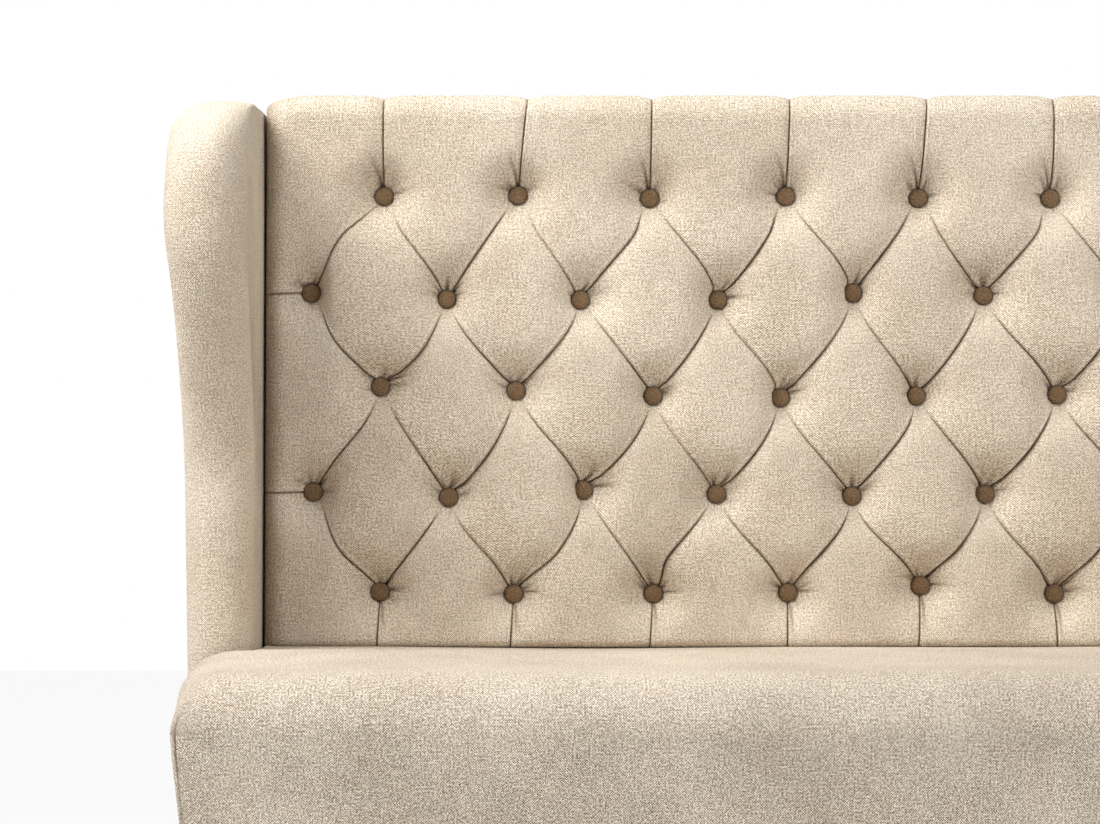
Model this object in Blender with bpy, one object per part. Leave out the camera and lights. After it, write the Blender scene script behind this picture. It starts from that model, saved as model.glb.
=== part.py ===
"""Two-seater wingback settee with a diamond-tufted back and a tight seat.

Metres. +X is the sitter's left as seen from the front, the front faces -Y, +Z is up.
The origin is on the floor under the middle of the sofa.
"""

import math

import bmesh
import bpy
from mathutils import Matrix

# Fits
FIT = 0.0004
OVERRUN = 0.020

# Heights, stacked from the floor up
LEG_HEIGHT = 0.235
SEAT_BODY = 0.245
BACK_ABOVE_SEAT = 0.560
WING_BELOW_BACK = 0.013

# Buttons: rows are offset by half a pitch, like bricks
BUTTON_PITCH = 0.1383
BUTTON_ROWS = 5
BUTTONS_IN_LONG_ROW = 9
BUTTON_RADIUS = 0.010
BUTTON_HEIGHT = 0.0075
LOWEST_ROW_ABOVE_SEAT = 0.0506
TOP_ROW_BELOW_TOP = 0.103
TWINE_WIDTH = 0.0024
TWINE_HOLE = 0.0032
PANEL_HOLE_RADIUS = 0.0035

# Tufted back
BACK_SIDE_MARGIN = 0.0504
BACK_COVER = 0.004
BUTTON_WELL = 0.008
PUFF_CROWN = 0.030
CREASE_CROWN = 0.015
PLEAT_CROWN = 0.023
PLEAT_RUN = 0.045
SIDE_ROLL = 0.022
TOP_ROLL = 0.028
PAD_ABOVE_SEAT = 0.002
TOP_DIP = 0.005

# Layers of the back, from the buttons rearwards
BACK_FOAM = 0.040
TUFT_PANEL = 0.005
TWINE_ROOM = 0.004
POST_DEPTH = 0.050
POST_WIDTH = 0.040
BACK_RAIL_HEIGHT = 0.055
OUTER_COVER = 0.004
OUTER_TOP_MARGIN = 0.014
LEAN_DEGREES = 3.0

# Seat
SEAT_DEPTH = 0.455
SEAT_INSIDE_WING_FACE = 0.0036
SEAT_FRONT_TAPER = 0.012
SEAT_COVER = 0.003
SEAT_CORNER = 0.016
SEAT_INNER_CORNER = 0.004
SEAT_FOAM = 0.105
SEAT_HEM_INSET = 0.006
SEAT_BULGE_DROP = 0.054
SEAT_ROLL = 0.036
SEAT_CROWN = 0.0108
SEAT_CROWN_RUN = 0.085

# Seat frame
RAIL = 0.025
RAIL_HEIGHT = 0.105
BLOCK = 0.050
BLOCK_HEIGHT = 0.045
BRACE_WIDTH = 0.035
BRACE_HEIGHT = 0.060
SPRINGS = 6
SPRING_WIRE = 0.0019
SPRING_HALF_WIDTH = 0.025
SPRING_BENDS = 13
SPRING_ARCH = 0.006
SPRING_END = 0.0083
SPRING_PAD = 0.002
DUST_COVER = 0.0008
DUST_MARGIN = 0.012

# Wings
WING_GAP = 0.004
WING_FOOT = 0.060
WING_HEAD = 0.0745
WING_FOOT_REACH = 0.150
WING_HEAD_REACH = 0.240
WING_SWEEP = 0.210
WING_TOP_RISE = 0.127
WING_TOP_RUN = 0.150
WING_TOP_FALL = 0.004
WING_NOSE = 0.042
WING_TOP_NOSE_INNER = 0.007
WING_TOP_NOSE_OUTER = 0.034
WING_COVER = 0.003
WING_PANEL = 0.018
WING_PANEL_MARGIN = 0.030
WING_PANEL_FROM_INNER = 0.018

# Legs
LEG_TOP = 0.052
LEG_FOOT = 0.030
LEG_RAKE = 0.030
LEG_SPLAY = 0.012
LEG_EDGE = 0.003
GLIDE_RADIUS = 0.011
GLIDE_FOOT_RADIUS = 0.0095
GLIDE_SHOULDER_RADIUS = 0.0099
GLIDE_HEIGHT = 0.004
GLIDE_PIN_RADIUS = 0.0016
GLIDE_PIN = 0.014
HANGER_RADIUS = 0.004
HANGER_IN_LEG = 0.045
HANGER_IN_BLOCK = 0.040
HOLE_CLEARANCE = 0.0005

# Bolts between the back and the seat
BOLT_RADIUS = 0.004
BOLT_HEAD_RADIUS = 0.0075
BOLT_HEAD = 0.005
BOLT_SHORT_OF_REAR = 0.008
BOLTS = 4
BOLT_SPACING = 0.300

# Derived places
LEAN = math.tan(math.radians(LEAN_DEGREES))
SEAT_TOP = LEG_HEIGHT + SEAT_BODY
BACK_TOP = SEAT_TOP + BACK_ABOVE_SEAT
WING_TOP = BACK_TOP - WING_BELOW_BACK
WING_HEAD_HEIGHT = WING_TOP - WING_TOP_RISE
WING_SWEEP_START = WING_HEAD_HEIGHT - WING_SWEEP
HALF_PITCH = BUTTON_PITCH / 2
LOW_ROW = SEAT_TOP + LOWEST_ROW_ABOVE_SEAT
TOP_ROW = BACK_TOP - TOP_ROW_BELOW_TOP
BUTTON_ROW_PITCH = (TOP_ROW - LOW_ROW) / (BUTTON_ROWS - 1)
OUTER_BUTTON = (BUTTONS_IN_LONG_ROW - 1) * HALF_PITCH
BACK_HALF = OUTER_BUTTON + BACK_SIDE_MARGIN
WING_INNER = BACK_HALF + WING_GAP
SEAT_SHOULDER_HALF = WING_INNER + WING_FOOT - SEAT_INSIDE_WING_FACE
SEAT_FRONT_HALF = SEAT_SHOULDER_HALF - SEAT_FRONT_TAPER

FOAM_FRONT = BUTTON_WELL + BACK_COVER + FIT
PANEL_FRONT = FOAM_FRONT + BACK_FOAM + FIT
POST_FRONT = PANEL_FRONT + TUFT_PANEL + FIT
POST_REAR = POST_FRONT + POST_DEPTH
BACK_REAR = POST_REAR + FIT + OUTER_COVER
OUTER_TOP = BACK_TOP - OUTER_TOP_MARGIN

# the front face and the rear top edge are equally far from the origin
BUTTON_Y = (SEAT_DEPTH - LEAN * SEAT_BODY - BACK_REAR - LEAN * (OUTER_TOP - LEG_HEIGHT)) / 2
SEAT_FRONT = BUTTON_Y + LEAN * SEAT_BODY - SEAT_DEPTH
SEAT_SHOULDER = BUTTON_Y + LEAN * SEAT_BODY - WING_FOOT_REACH - WING_GAP
SEAT_REAR = BUTTON_Y + PANEL_FRONT - FIT
RAIL_TOP = LEG_HEIGHT + RAIL_HEIGHT
FOAM_BOTTOM = SEAT_TOP - SEAT_COVER - SEAT_FOAM
FRONT_RAIL_Y = SEAT_FRONT + SEAT_HEM_INSET + SEAT_COVER + FIT
REAR_RAIL_FRONT = POST_FRONT - FIT - RAIL
SIDE_RAIL_OUTER = BACK_HALF - SEAT_HEM_INSET - SEAT_COVER - FIT
FRAME_TOP = BACK_TOP - TOP_DIP - BACK_COVER - FIT
POST_OUTER = BACK_HALF - BACK_COVER - FIT


def clear_scene():
    for obj in list(bpy.data.objects):
        bpy.data.objects.remove(obj, do_unlink=True)


def finish(name, colour, roughness, metallic=0.0):
    material = bpy.data.materials.new(name)
    material.use_nodes = True
    shader = material.node_tree.nodes["Principled BSDF"]
    shader.inputs["Base Color"].default_value = (*colour, 1.0)
    shader.inputs["Roughness"].default_value = roughness
    shader.inputs["Metallic"].default_value = metallic
    material.diffuse_color = (*colour, 1.0)
    return material


def make(name, bm, material, parent=None, place=(0, 0, 0), smooth=False):
    """An object named name, from bm, with its faces turned outwards."""
    bmesh.ops.recalc_face_normals(bm, faces=bm.faces)
    mesh = bpy.data.meshes.new(name)
    bm.to_mesh(mesh)
    bm.free()
    if smooth:
        mesh.shade_smooth()
        mesh.set_sharp_from_angle(angle=math.radians(40))
    obj = bpy.data.objects.new(name, mesh)
    bpy.context.scene.collection.objects.link(obj)
    if material:
        mesh.materials.append(material)
    obj.parent = parent
    obj.location = place
    return obj


def cutter(name, bm, parent=None, place=(0, 0, 0)):
    obj = make(name, bm, None, parent, place)
    obj.hide_render = True
    obj.display_type = "WIRE"
    return obj


def boolean(obj, other, operation="DIFFERENCE"):
    modifier = obj.modifiers.new(operation.title(), "BOOLEAN")
    modifier.operation = operation
    modifier.solver = "EXACT"
    modifier.object = other
    return obj


def block(low, high):
    """A box between two corners."""
    bm = bmesh.new()
    bmesh.ops.create_cube(bm, size=1)
    size = [b - a for a, b in zip(low, high)]
    middle = [(a + b) / 2 for a, b in zip(low, high)]
    bmesh.ops.scale(bm, vec=size, verts=bm.verts)
    bmesh.ops.translate(bm, vec=middle, verts=bm.verts)
    return bm


def rod(radius, length, sides, along="Z", middle=(0, 0, 0)):
    """A cylinder of that many sides, along Z or Y, about its middle."""
    bm = bmesh.new()
    bmesh.ops.create_cone(
        bm, cap_ends=True, segments=sides, radius1=radius, radius2=radius, depth=length
    )
    if along == "Y":
        bmesh.ops.rotate(bm, matrix=Matrix.Rotation(math.pi / 2, 3, "X"), verts=bm.verts)
    bmesh.ops.translate(bm, vec=middle, verts=bm.verts)
    return bm


def merged(bodies):
    """Several bmeshes in one."""
    mesh = bpy.data.meshes.new("merged")
    whole = bmesh.new()
    for bm in bodies:
        bm.to_mesh(mesh)
        bm.free()
        whole.from_mesh(mesh)
    bpy.data.meshes.remove(mesh)
    return whole


def lean(bm):
    """Leans a back piece rearwards. It is sheared, so that its level cuts stay level."""
    for vert in bm.verts:
        vert.co.y += LEAN * (vert.co.z - LEG_HEIGHT)
    return bm


def loft(rings):
    """A closed body through rings with the same number of points, capped at both ends.

    Its sides are triangles, so that a body and the shape that hollows it bend alike.
    """
    bm = bmesh.new()
    loops = [[bm.verts.new(point) for point in ring] for ring in rings]
    for low, high in zip(loops, loops[1:]):
        for k in range(len(low)):
            after = (k + 1) % len(low)
            bm.faces.new((low[k], low[after], high[after]))
            bm.faces.new((low[k], high[after], high[k]))
    bm.faces.new(list(reversed(loops[0])))
    bm.faces.new(loops[-1])
    return bm


def shell(outer, inner):
    """A wall between two sets of open rings, which are joined along their ends and their edges."""
    bm = bmesh.new()
    skins = [[[bm.verts.new(point) for point in ring] for ring in rings] for rings in (outer, inner)]
    last = len(outer[0]) - 1
    for loops in skins:
        for low, high in zip(loops, loops[1:]):
            for k in range(last):
                bm.faces.new((low[k], low[k + 1], high[k + 1]))
                bm.faces.new((low[k], high[k + 1], high[k]))
    outside, inside = skins
    for index in range(len(outside) - 1):
        for k in (0, last):
            edge = (outside[index][k], outside[index + 1][k], inside[index + 1][k], inside[index][k])
            bm.faces.new(edge)
    for index in (0, -1):
        for k in range(last):
            end = (outside[index][k], outside[index][k + 1], inside[index][k + 1], inside[index][k])
            bm.faces.new(end)
    return bm


def mix(a, b, share):
    return a + (b - a) * share


def smooth_step(share):
    share = min(max(share, 0.0), 1.0)
    return share * share * (3 - 2 * share)


def button_places(row):
    """The x of each button in a row, counted from the top. Every second row is a long one."""
    count = BUTTONS_IN_LONG_ROW - 1 + row % 2
    return [(k - (count - 1) / 2) * BUTTON_PITCH for k in range(count)]


def row_height(row):
    return TOP_ROW - row * BUTTON_ROW_PITCH


def every_button():
    return [(x, row_height(row)) for row in range(BUTTON_ROWS) for x in button_places(row)]


def tuft_height(x, z):
    """How far the tufted cover stands in front of the buttons.

    Each diamond is crowned. Its edges are creases, which sink into a well at each button.
    Past the outer buttons the creases run straight out as pleats.
    """
    inner_x = min(max(x, -OUTER_BUTTON), OUTER_BUTTON)
    inner_z = min(max(z, LOW_ROW), TOP_ROW)
    across = (inner_x + OUTER_BUTTON) / HALF_PITCH
    up = (inner_z - LOW_ROW) / BUTTON_ROW_PITCH
    # turned by 45 degrees, the diamonds are unit squares with buttons at their corners
    u = (across + up - 1) / 2
    v = (across - up + 1) / 2
    from_u = abs(u - math.floor(u) - 1 / 2) * 2
    from_v = abs(v - math.floor(v) - 1 / 2) * 2
    edge = max(from_u, from_v)
    along = min(from_u, from_v)
    crease = mix(CREASE_CROWN, -BUTTON_WELL, along**2)
    beyond = abs(x - inner_x) + abs(z - inner_z)
    crease = mix(crease, PLEAT_CROWN, smooth_step(beyond / PLEAT_RUN))
    return mix(PUFF_CROWN, crease, edge**1.8)


def roll(distance, radius):
    """Share of the full height at that distance in from a rounded edge."""
    if distance >= radius:
        return 1.0
    return math.sqrt(max(0.0, 1 - (1 - distance / radius) ** 2))


def tuft_columns():
    """x of the grid's columns: four to a pitch, and closer at the rolled sides."""
    steps = 4 * (BUTTONS_IN_LONG_ROW - 1)
    inner = [mix(-OUTER_BUTTON, OUTER_BUTTON, k / steps) for k in range(steps + 1)]
    rolled = [BACK_HALF - SIDE_ROLL * share for share in (0.5, 0)]
    return [-x for x in reversed(rolled)] + inner + rolled


def tuft_rows():
    """z of the grid's rows: two to a row pitch, and closer at the rolled top."""
    steps = 2 * (BUTTON_ROWS - 1)
    inner = [mix(LOW_ROW, TOP_ROW, k / steps) for k in range(steps + 1)]
    low = SEAT_TOP + PAD_ABOVE_SEAT
    rolled = [BACK_TOP - TOP_ROLL * share for share in (1, 0.3, 0)]
    return [low] + inner + rolled


def tufted_sheet():
    """The front surface of the tufted back, as a grid."""
    bm = bmesh.new()
    columns, rows = tuft_columns(), tuft_rows()
    grid = []
    for z in rows:
        line = []
        for x in columns:
            height = tuft_height(x, z)
            pleat = 1 - height / PUFF_CROWN
            height *= roll(BACK_HALF - abs(x), SIDE_ROLL) * roll(BACK_TOP - z, TOP_ROLL)
            drop = TOP_DIP * pleat * smooth_step((z - TOP_ROW) / (BACK_TOP - TOP_ROW))
            line.append(bm.verts.new((x, -height, z - drop)))
        grid.append(line)
    for low, high in zip(grid, grid[1:]):
        for k in range(len(columns) - 1):
            corners = (low[k], low[k + 1], high[k + 1], high[k])
            # each cell is split along the crease that it may hold
            folded = abs(corners[0].co.y + corners[2].co.y) < abs(corners[1].co.y + corners[3].co.y)
            if folded:
                bm.faces.new((corners[0], corners[1], corners[2]))
                bm.faces.new((corners[0], corners[2], corners[3]))
            else:
                bm.faces.new((corners[0], corners[1], corners[3]))
                bm.faces.new((corners[1], corners[2], corners[3]))
    return bm


def twine_cutter(width, rear, parent, name):
    """A square prism through each button's place, for the slits that the twine passes."""
    half = width / 2
    prisms = []
    for x, z in every_button():
        low = (x - half, -OVERRUN, z - half)
        prisms.append(block(low, (x + half, rear, z + half)))
    return cutter(name, lean(merged(prisms)), parent)


def tufted_cover(parent, fabric, slits):
    """Fabric and wadding, pulled in at each button, wrapped over the top and sides of the back frame."""
    bm = tufted_sheet()
    rim = [edge for edge in bm.edges if edge.is_boundary]
    wall = bmesh.ops.extrude_edge_only(bm, edges=rim)
    rear = [item for item in wall["geom"] if isinstance(item, bmesh.types.BMVert)]
    for vert in rear:
        vert.co.y = POST_REAR
    rear_rim = [edge for edge in bm.edges if edge.is_boundary]
    bmesh.ops.contextual_create(bm, geom=rear_rim)
    cover = make("tufted_back_cover", lean(bm), fabric, parent, smooth=True)
    side = BACK_HALF - BACK_COVER
    top = BACK_TOP - TOP_DIP - BACK_COVER
    low = (-side, BUTTON_WELL + BACK_COVER, SEAT_TOP - OVERRUN)
    hollow = cutter("cut_back_hollow", lean(block(low, (side, POST_REAR + OVERRUN, top))), parent)
    boolean(cover, hollow)
    boolean(cover, slits)
    return cover


def back_foam(parent, foam, slits):
    low = (-POST_OUTER, FOAM_FRONT, SEAT_TOP + PAD_ABOVE_SEAT)
    high = (POST_OUTER, FOAM_FRONT + BACK_FOAM, FRAME_TOP)
    slab = make("back_foam", lean(block(low, high)), foam, parent)
    return boolean(slab, slits)


def tufting_panel(parent, board):
    """Hardboard with a hole for the twine behind each button."""
    low = (-POST_OUTER, PANEL_FRONT, RAIL_TOP + FIT)
    high = (POST_OUTER, PANEL_FRONT + TUFT_PANEL, FRAME_TOP)
    panel = make("tufting_panel", lean(block(low, high)), board, parent)
    middle = PANEL_FRONT + TUFT_PANEL / 2
    rods = [
        rod(PANEL_HOLE_RADIUS, TUFT_PANEL + 2 * TWINE_ROOM, 6, "Y", (x, middle, z))
        for x, z in every_button()
    ]
    return boolean(panel, cutter("cut_panel_holes", lean(merged(rods)), parent))


def button_head(x, z):
    """One covered button, domed in front, with its twine running back."""
    bm = bmesh.new()
    profile_shares = ((0.55, 0.86), (0.9, 0.55), (1.0, 0.25), (0.8, 0.0))
    loops = []
    for radius_share, height_share in profile_shares:
        ring = bmesh.ops.create_circle(bm, segments=10, radius=BUTTON_RADIUS * radius_share)
        bmesh.ops.translate(bm, vec=(0, 0, BUTTON_HEIGHT * height_share), verts=ring["verts"])
        loops.append(ring["verts"])
    for outer, inner in zip(loops, loops[1:]):
        for k in range(len(outer)):
            after = (k + 1) % len(outer)
            bm.faces.new((outer[k], outer[after], inner[after], inner[k]))
    tip = bm.verts.new((0, 0, BUTTON_HEIGHT))
    for k in range(len(loops[0])):
        bm.faces.new((loops[0][k], loops[0][(k + 1) % len(loops[0])], tip))
    bm.faces.new(loops[-1])
    bmesh.ops.rotate(bm, matrix=Matrix.Rotation(math.pi / 2, 3, "X"), verts=bm.verts)
    bmesh.ops.translate(bm, vec=(x, -FIT, z), verts=bm.verts)
    return bm


def button_row(row, parent, fabric):
    """A row of buttons, held by one run of twine that is laced behind the tufting panel."""
    z = row_height(row)
    places = button_places(row)
    half = TWINE_WIDTH / 2
    behind = PANEL_FRONT + TUFT_PANEL + TWINE_ROOM / 2
    low = (places[0] - half, behind - half, z - half)
    run = block(low, (places[-1] + half, behind + half, z + half))
    obj = make(f"button_row_{row + 1}", lean(run), fabric, parent)
    strands = [block((x - half, -FIT - half, z - half), (x + half, behind, z + half)) for x in places]
    heads = [button_head(x, z) for x in places]
    boolean(obj, cutter(f"twine_of_row_{row + 1}", lean(merged(strands)), parent), "UNION")
    return boolean(obj, cutter(f"heads_of_row_{row + 1}", lean(merged(heads)), parent), "UNION")


def back_frame(parent, timber):
    """Posts, stiles and rails. The stiles and the middle rail stand back to leave room for the twine."""
    post_inner = POST_OUTER - POST_WIDTH
    stile = BUTTON_PITCH * 5 / 4
    half = POST_WIDTH / 2
    inner_front = POST_FRONT + TWINE_ROOM
    seat_rail = SEAT_TOP - BACK_RAIL_HEIGHT
    pieces = {
        "back_left_post": (-POST_OUTER, -post_inner, POST_FRONT, LEG_HEIGHT, FRAME_TOP),
        "back_right_post": (post_inner, POST_OUTER, POST_FRONT, LEG_HEIGHT, FRAME_TOP),
    }
    for rail, bottom in (
        ("top", FRAME_TOP - BACK_RAIL_HEIGHT),
        ("seat", seat_rail),
        ("bottom", LEG_HEIGHT),
    ):
        across = (-post_inner + FIT, post_inner - FIT, POST_FRONT, bottom, bottom + BACK_RAIL_HEIGHT)
        pieces[f"back_{rail}_rail"] = across
    for side, x in (("left", -stile), ("right", stile)):
        upright = (x - half, x + half, inner_front, SEAT_TOP + FIT, FRAME_TOP - BACK_RAIL_HEIGHT - FIT)
        pieces[f"back_{side}_stile"] = upright
    made = {}
    for name, (left, right, front, bottom, top) in pieces.items():
        shape = lean(block((left, front, bottom), (right, POST_REAR, top)))
        made[name] = make(name, shape, timber, parent)
    return made


def wing_outer(z):
    """Half the sofa's width over the wings at a height: they flare out towards the head."""
    share = smooth_step((z - WING_SWEEP_START) / (WING_HEAD_HEIGHT - WING_SWEEP_START))
    return WING_INNER + mix(WING_FOOT, WING_HEAD, share)


def wing_outline(inset):
    """Stations round a wing's front and top: (y, z, slope of the outward normal, progress over the top)."""
    stations = []
    for share in (0.0, 1.0):
        z = mix(LEG_HEIGHT, SEAT_TOP, share)
        stations.append((-WING_FOOT_REACH - LEAN * (z - SEAT_TOP), z, 0.0, 0.0))
    sweep = 6
    for k in range(sweep):
        share = k / sweep
        z = mix(WING_SWEEP_START, WING_HEAD_HEIGHT, share)
        reach = mix(WING_FOOT_REACH, WING_HEAD_REACH, smooth_step(share))
        run = (WING_HEAD_REACH - WING_FOOT_REACH) * 6 * share * (1 - share)
        tilt = -math.atan2(run, WING_HEAD_HEIGHT - WING_SWEEP_START)
        stations.append((-reach, z, tilt, 0.0))
    rise = WING_TOP - WING_HEAD_HEIGHT
    turn = 6
    for k in range(turn + 1):
        angle = math.pi / 2 * k / turn
        y = -WING_HEAD_REACH + WING_TOP_RUN * (1 - math.cos(angle))
        tilt = math.atan2(math.sin(angle) / rise, math.cos(angle) / WING_TOP_RUN)
        stations.append((y, WING_HEAD_HEIGHT + rise * math.sin(angle), tilt, k / turn))
    arc_end = stations[-1][0]
    for share in (1 / 3, 2 / 3, 1.0):
        z = WING_TOP - WING_TOP_FALL * share**2
        stations.append((mix(arc_end, POST_REAR, share), z, math.pi / 2, 1.0))
    moved = []
    for y, z, tilt, over in stations:
        y += inset * math.cos(tilt)
        z -= inset * math.sin(tilt)
        moved.append((y, z, tilt, over))
    return moved


def wing_form(inset):
    """Rings of the right wing's padded body: a barrel edge carried up the front and over the top.

    Each ring starts and ends on the rear plane. inset draws the outer faces in.
    """
    stations = wing_outline(inset)
    rings = []
    arc = 6
    for index, (y, z, tilt, over) in enumerate(stations):
        inner = WING_INNER + inset
        outer = wing_outer(z) - inset
        inner_nose = mix(WING_NOSE, WING_TOP_NOSE_INNER, over)
        outer_nose = mix(WING_NOSE, WING_TOP_NOSE_OUTER, over)
        crest = mix(inner, outer, mix(1 / 2, 1 / 3, over))
        spine_share = index / (len(stations) - 1)
        spine = mix(LEG_HEIGHT, WING_TOP - inset - 2 * WING_TOP_NOSE_OUTER, spine_share)
        ring = [(inner, POST_REAR, spine)]
        for k in range(arc + 1):
            angle = math.pi * k / arc
            side = -math.cos(angle)
            depth = (1 - math.sin(angle)) * (inner_nose if side < 0 else outer_nose)
            x = crest + side * ((crest - inner) if side < 0 else (outer - crest))
            ring.append((x, y + depth * math.cos(tilt), z - depth * math.sin(tilt)))
        ring.append((wing_outer(spine) - inset, POST_REAR, spine))
        rings.append(ring)
    return rings


def mirrored(bm, side):
    """Turns a right-hand shape into a left-hand one where side is -1."""
    if side < 0:
        bmesh.ops.scale(bm, vec=(-1, 1, 1), verts=bm.verts)
        bmesh.ops.reverse_faces(bm, faces=bm.faces)
    return bm


def wing_board(margin, fit, overrun):
    """The flat board inside a wing, or, with a fit and an overrun, the slot for it."""
    left = WING_INNER + WING_PANEL_FROM_INNER - fit
    right = WING_INNER + WING_PANEL_FROM_INNER + WING_PANEL + fit
    rear = POST_REAR + overrun
    edge = [(y, z) for y, z, tilt, over in wing_outline(margin - fit)]
    edge[0] = (edge[0][0], LEG_HEIGHT - overrun)
    edge[-1] = (rear, edge[-1][1])
    edge.append((rear, LEG_HEIGHT - overrun))
    return loft([[(x, y, z) for y, z in edge] for x in (left, right)])


def wing(word, side, parent, fabric, foam, timber):
    """A board wrapped in foam and covered, open at the rear edge, where the outer back closes it."""
    board = wing_board(WING_PANEL_MARGIN, 0, 0)
    make(f"{word}_wing_panel", lean(mirrored(board, side)), timber, parent)

    padding = loft(wing_form(WING_COVER + FIT))
    pad = make(f"{word}_wing_foam", lean(mirrored(padding, side)), foam, parent, smooth=True)
    slot = wing_board(WING_PANEL_MARGIN, FIT, OVERRUN)
    boolean(pad, cutter(f"cut_{word}_wing_slot", lean(mirrored(slot, side)), parent))

    skin = shell(wing_form(0), wing_form(WING_COVER))
    make(f"{word}_wing_cover", lean(mirrored(skin, side)), fabric, parent, smooth=True)


def outer_back(parent, fabric):
    """The plain panel that closes the rear, from wing to wing and from the top to the hem."""
    steps = 8
    right = []
    for k in range(steps + 1):
        z = mix(LEG_HEIGHT, WING_TOP - WING_TOP_NOSE_OUTER, k / steps)
        right.append((wing_outer(z) - WING_COVER, z))
    top = OUTER_TOP
    right.append((right[-1][0] - WING_TOP_NOSE_OUTER / 2, WING_TOP - OUTER_TOP_MARGIN))
    right.append((WING_INNER, WING_TOP - OUTER_TOP_MARGIN))
    right.append((BACK_HALF - SIDE_ROLL, top))
    outline = right + [(-x, z) for x, z in reversed(right)]
    rings = [[(x, y, z) for x, z in outline] for y in (POST_REAR + FIT, BACK_REAR)]
    return make("outer_back_cover", lean(loft(rings)), fabric, parent)


def seat_ring(inset, z, rear, overrun=0.0):
    """The seat's outline at a height: wider in front of the wings, narrower between them."""
    front_half = SEAT_FRONT_HALF - inset
    shoulder_half = SEAT_SHOULDER_HALF - inset
    back_half = BACK_HALF - inset
    front = SEAT_FRONT + inset
    shoulder = SEAT_SHOULDER - inset
    corner = max(SEAT_CORNER - inset, SEAT_INNER_CORNER)
    right = [(back_half, rear + overrun), (back_half, shoulder), (shoulder_half, shoulder)]
    arc = 3
    for k in range(arc + 1):
        angle = math.pi / 2 * k / arc
        x = front_half - corner + corner * math.cos(angle)
        right.append((x, front + corner - corner * math.sin(angle)))
    return [(x, y, z) for x, y in right + [(-x, y) for x, y in reversed(right)]]


def seat_form(inset, bottom, overrun=0.0):
    """The tight seat: a drawn-in hem, a bulging front, a rolled edge and a low crown."""
    bulge = SEAT_TOP - SEAT_BULGE_DROP
    hem = LEG_HEIGHT
    rings = []
    for share in (0.0, 0.5, 1.0):
        z = mix(bottom, bulge, share)
        height_share = (z - hem) / (bulge - hem)
        pull = SEAT_HEM_INSET * (1 - min(max(height_share, 0.0), 1.0)) ** 1.5
        rings.append(seat_ring(inset + pull, z, SEAT_REAR, overrun))
    edge_top = SEAT_TOP - SEAT_CROWN
    turn = 4
    for k in range(1, turn + 1):
        angle = math.pi / 2 * k / turn
        pull = SEAT_ROLL * (1 - math.cos(angle))
        z = bulge + (edge_top - bulge - inset) * math.sin(angle)
        rings.append(seat_ring(inset + pull, z, SEAT_REAR, overrun))
    crown = 2
    for k in range(1, crown + 1):
        share = k / crown
        pull = SEAT_ROLL + SEAT_CROWN_RUN * share
        z = mix(edge_top, SEAT_TOP, math.sin(math.pi / 2 * share)) - inset
        rings.append(seat_ring(inset + pull, z, SEAT_REAR, overrun))
    return loft(rings)


def seat_soft_parts(fabric, foam, pad_cloth):
    """The seat's foam block under its stretched cover. The cover is open at the rear and below."""
    make("seat_foam", seat_form(SEAT_COVER + FIT, FOAM_BOTTOM), foam, smooth=True)
    cover = make("seat_cover", seat_form(0, LEG_HEIGHT), fabric, smooth=True)
    inside = seat_form(SEAT_COVER, LEG_HEIGHT - OVERRUN, OVERRUN)
    boolean(cover, cutter("cut_seat_inside", inside))
    half = SIDE_RAIL_OUTER - RAIL
    low = (-half, FRONT_RAIL_Y + RAIL, FOAM_BOTTOM - FIT - SPRING_PAD)
    high = (half, SEAT_REAR - FIT, FOAM_BOTTOM - FIT)
    make("spring_pad", block(low, high), pad_cloth)


def seat_frame(back, timber):
    """Rails, brace, corner blocks and the ears that reach out in front of the wings.

    The rear rail leans with the back, so that the two meet flat.
    """
    rear_low = (-SIDE_RAIL_OUTER, REAR_RAIL_FRONT, LEG_HEIGHT)
    rear_high = (SIDE_RAIL_OUTER, REAR_RAIL_FRONT + RAIL, RAIL_TOP)
    rear_rail = make("seat_rear_rail", lean(block(rear_low, rear_high)), timber, back)

    front_half = SEAT_FRONT_HALF - SEAT_HEM_INSET - SEAT_COVER - SEAT_CORNER / 2
    front_inner = FRONT_RAIL_Y + RAIL
    low = (-front_half, FRONT_RAIL_Y, LEG_HEIGHT)
    make("seat_front_rail", block(low, (front_half, front_inner, RAIL_TOP)), timber)

    side_rear = BUTTON_Y + REAR_RAIL_FRONT - FIT
    for word, side in (("left", -1), ("right", 1)):
        outer = side * SIDE_RAIL_OUTER
        inner = side * (SIDE_RAIL_OUTER - RAIL)
        low = (min(outer, inner), front_inner + FIT, LEG_HEIGHT)
        high = (max(outer, inner), side_rear, RAIL_TOP)
        make(f"seat_{word}_rail", block(low, high), timber)

        near = side * (SIDE_RAIL_OUTER + FIT)
        far = side * front_half
        low = (min(near, far), front_inner + FIT, LEG_HEIGHT)
        high = (max(near, far), SEAT_SHOULDER - SEAT_HEM_INSET - SEAT_COVER - FIT, RAIL_TOP)
        make(f"seat_{word}_ear", block(low, high), timber)

    half = BRACE_WIDTH / 2
    low = (-half, front_inner + FIT, LEG_HEIGHT)
    make("seat_brace", block(low, (half, side_rear, LEG_HEIGHT + BRACE_HEIGHT)), timber)
    return rear_rail


def leg_places():
    """The middle of each leg's top, inside a corner of the frame: name, x, y, splay and rake of the foot."""
    from_rail = FIT + BLOCK / 2
    x = SIDE_RAIL_OUTER - RAIL - from_rail
    front = FRONT_RAIL_Y + RAIL + from_rail
    rear = BUTTON_Y + REAR_RAIL_FRONT - FIT - from_rail
    return (
        ("front_left", -x, front, -LEG_SPLAY, 0.0),
        ("front_right", x, front, LEG_SPLAY, 0.0),
        ("rear_left", -x, rear, -LEG_SPLAY, LEG_RAKE),
        ("rear_right", x, rear, LEG_SPLAY, LEG_RAKE),
    )


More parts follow.
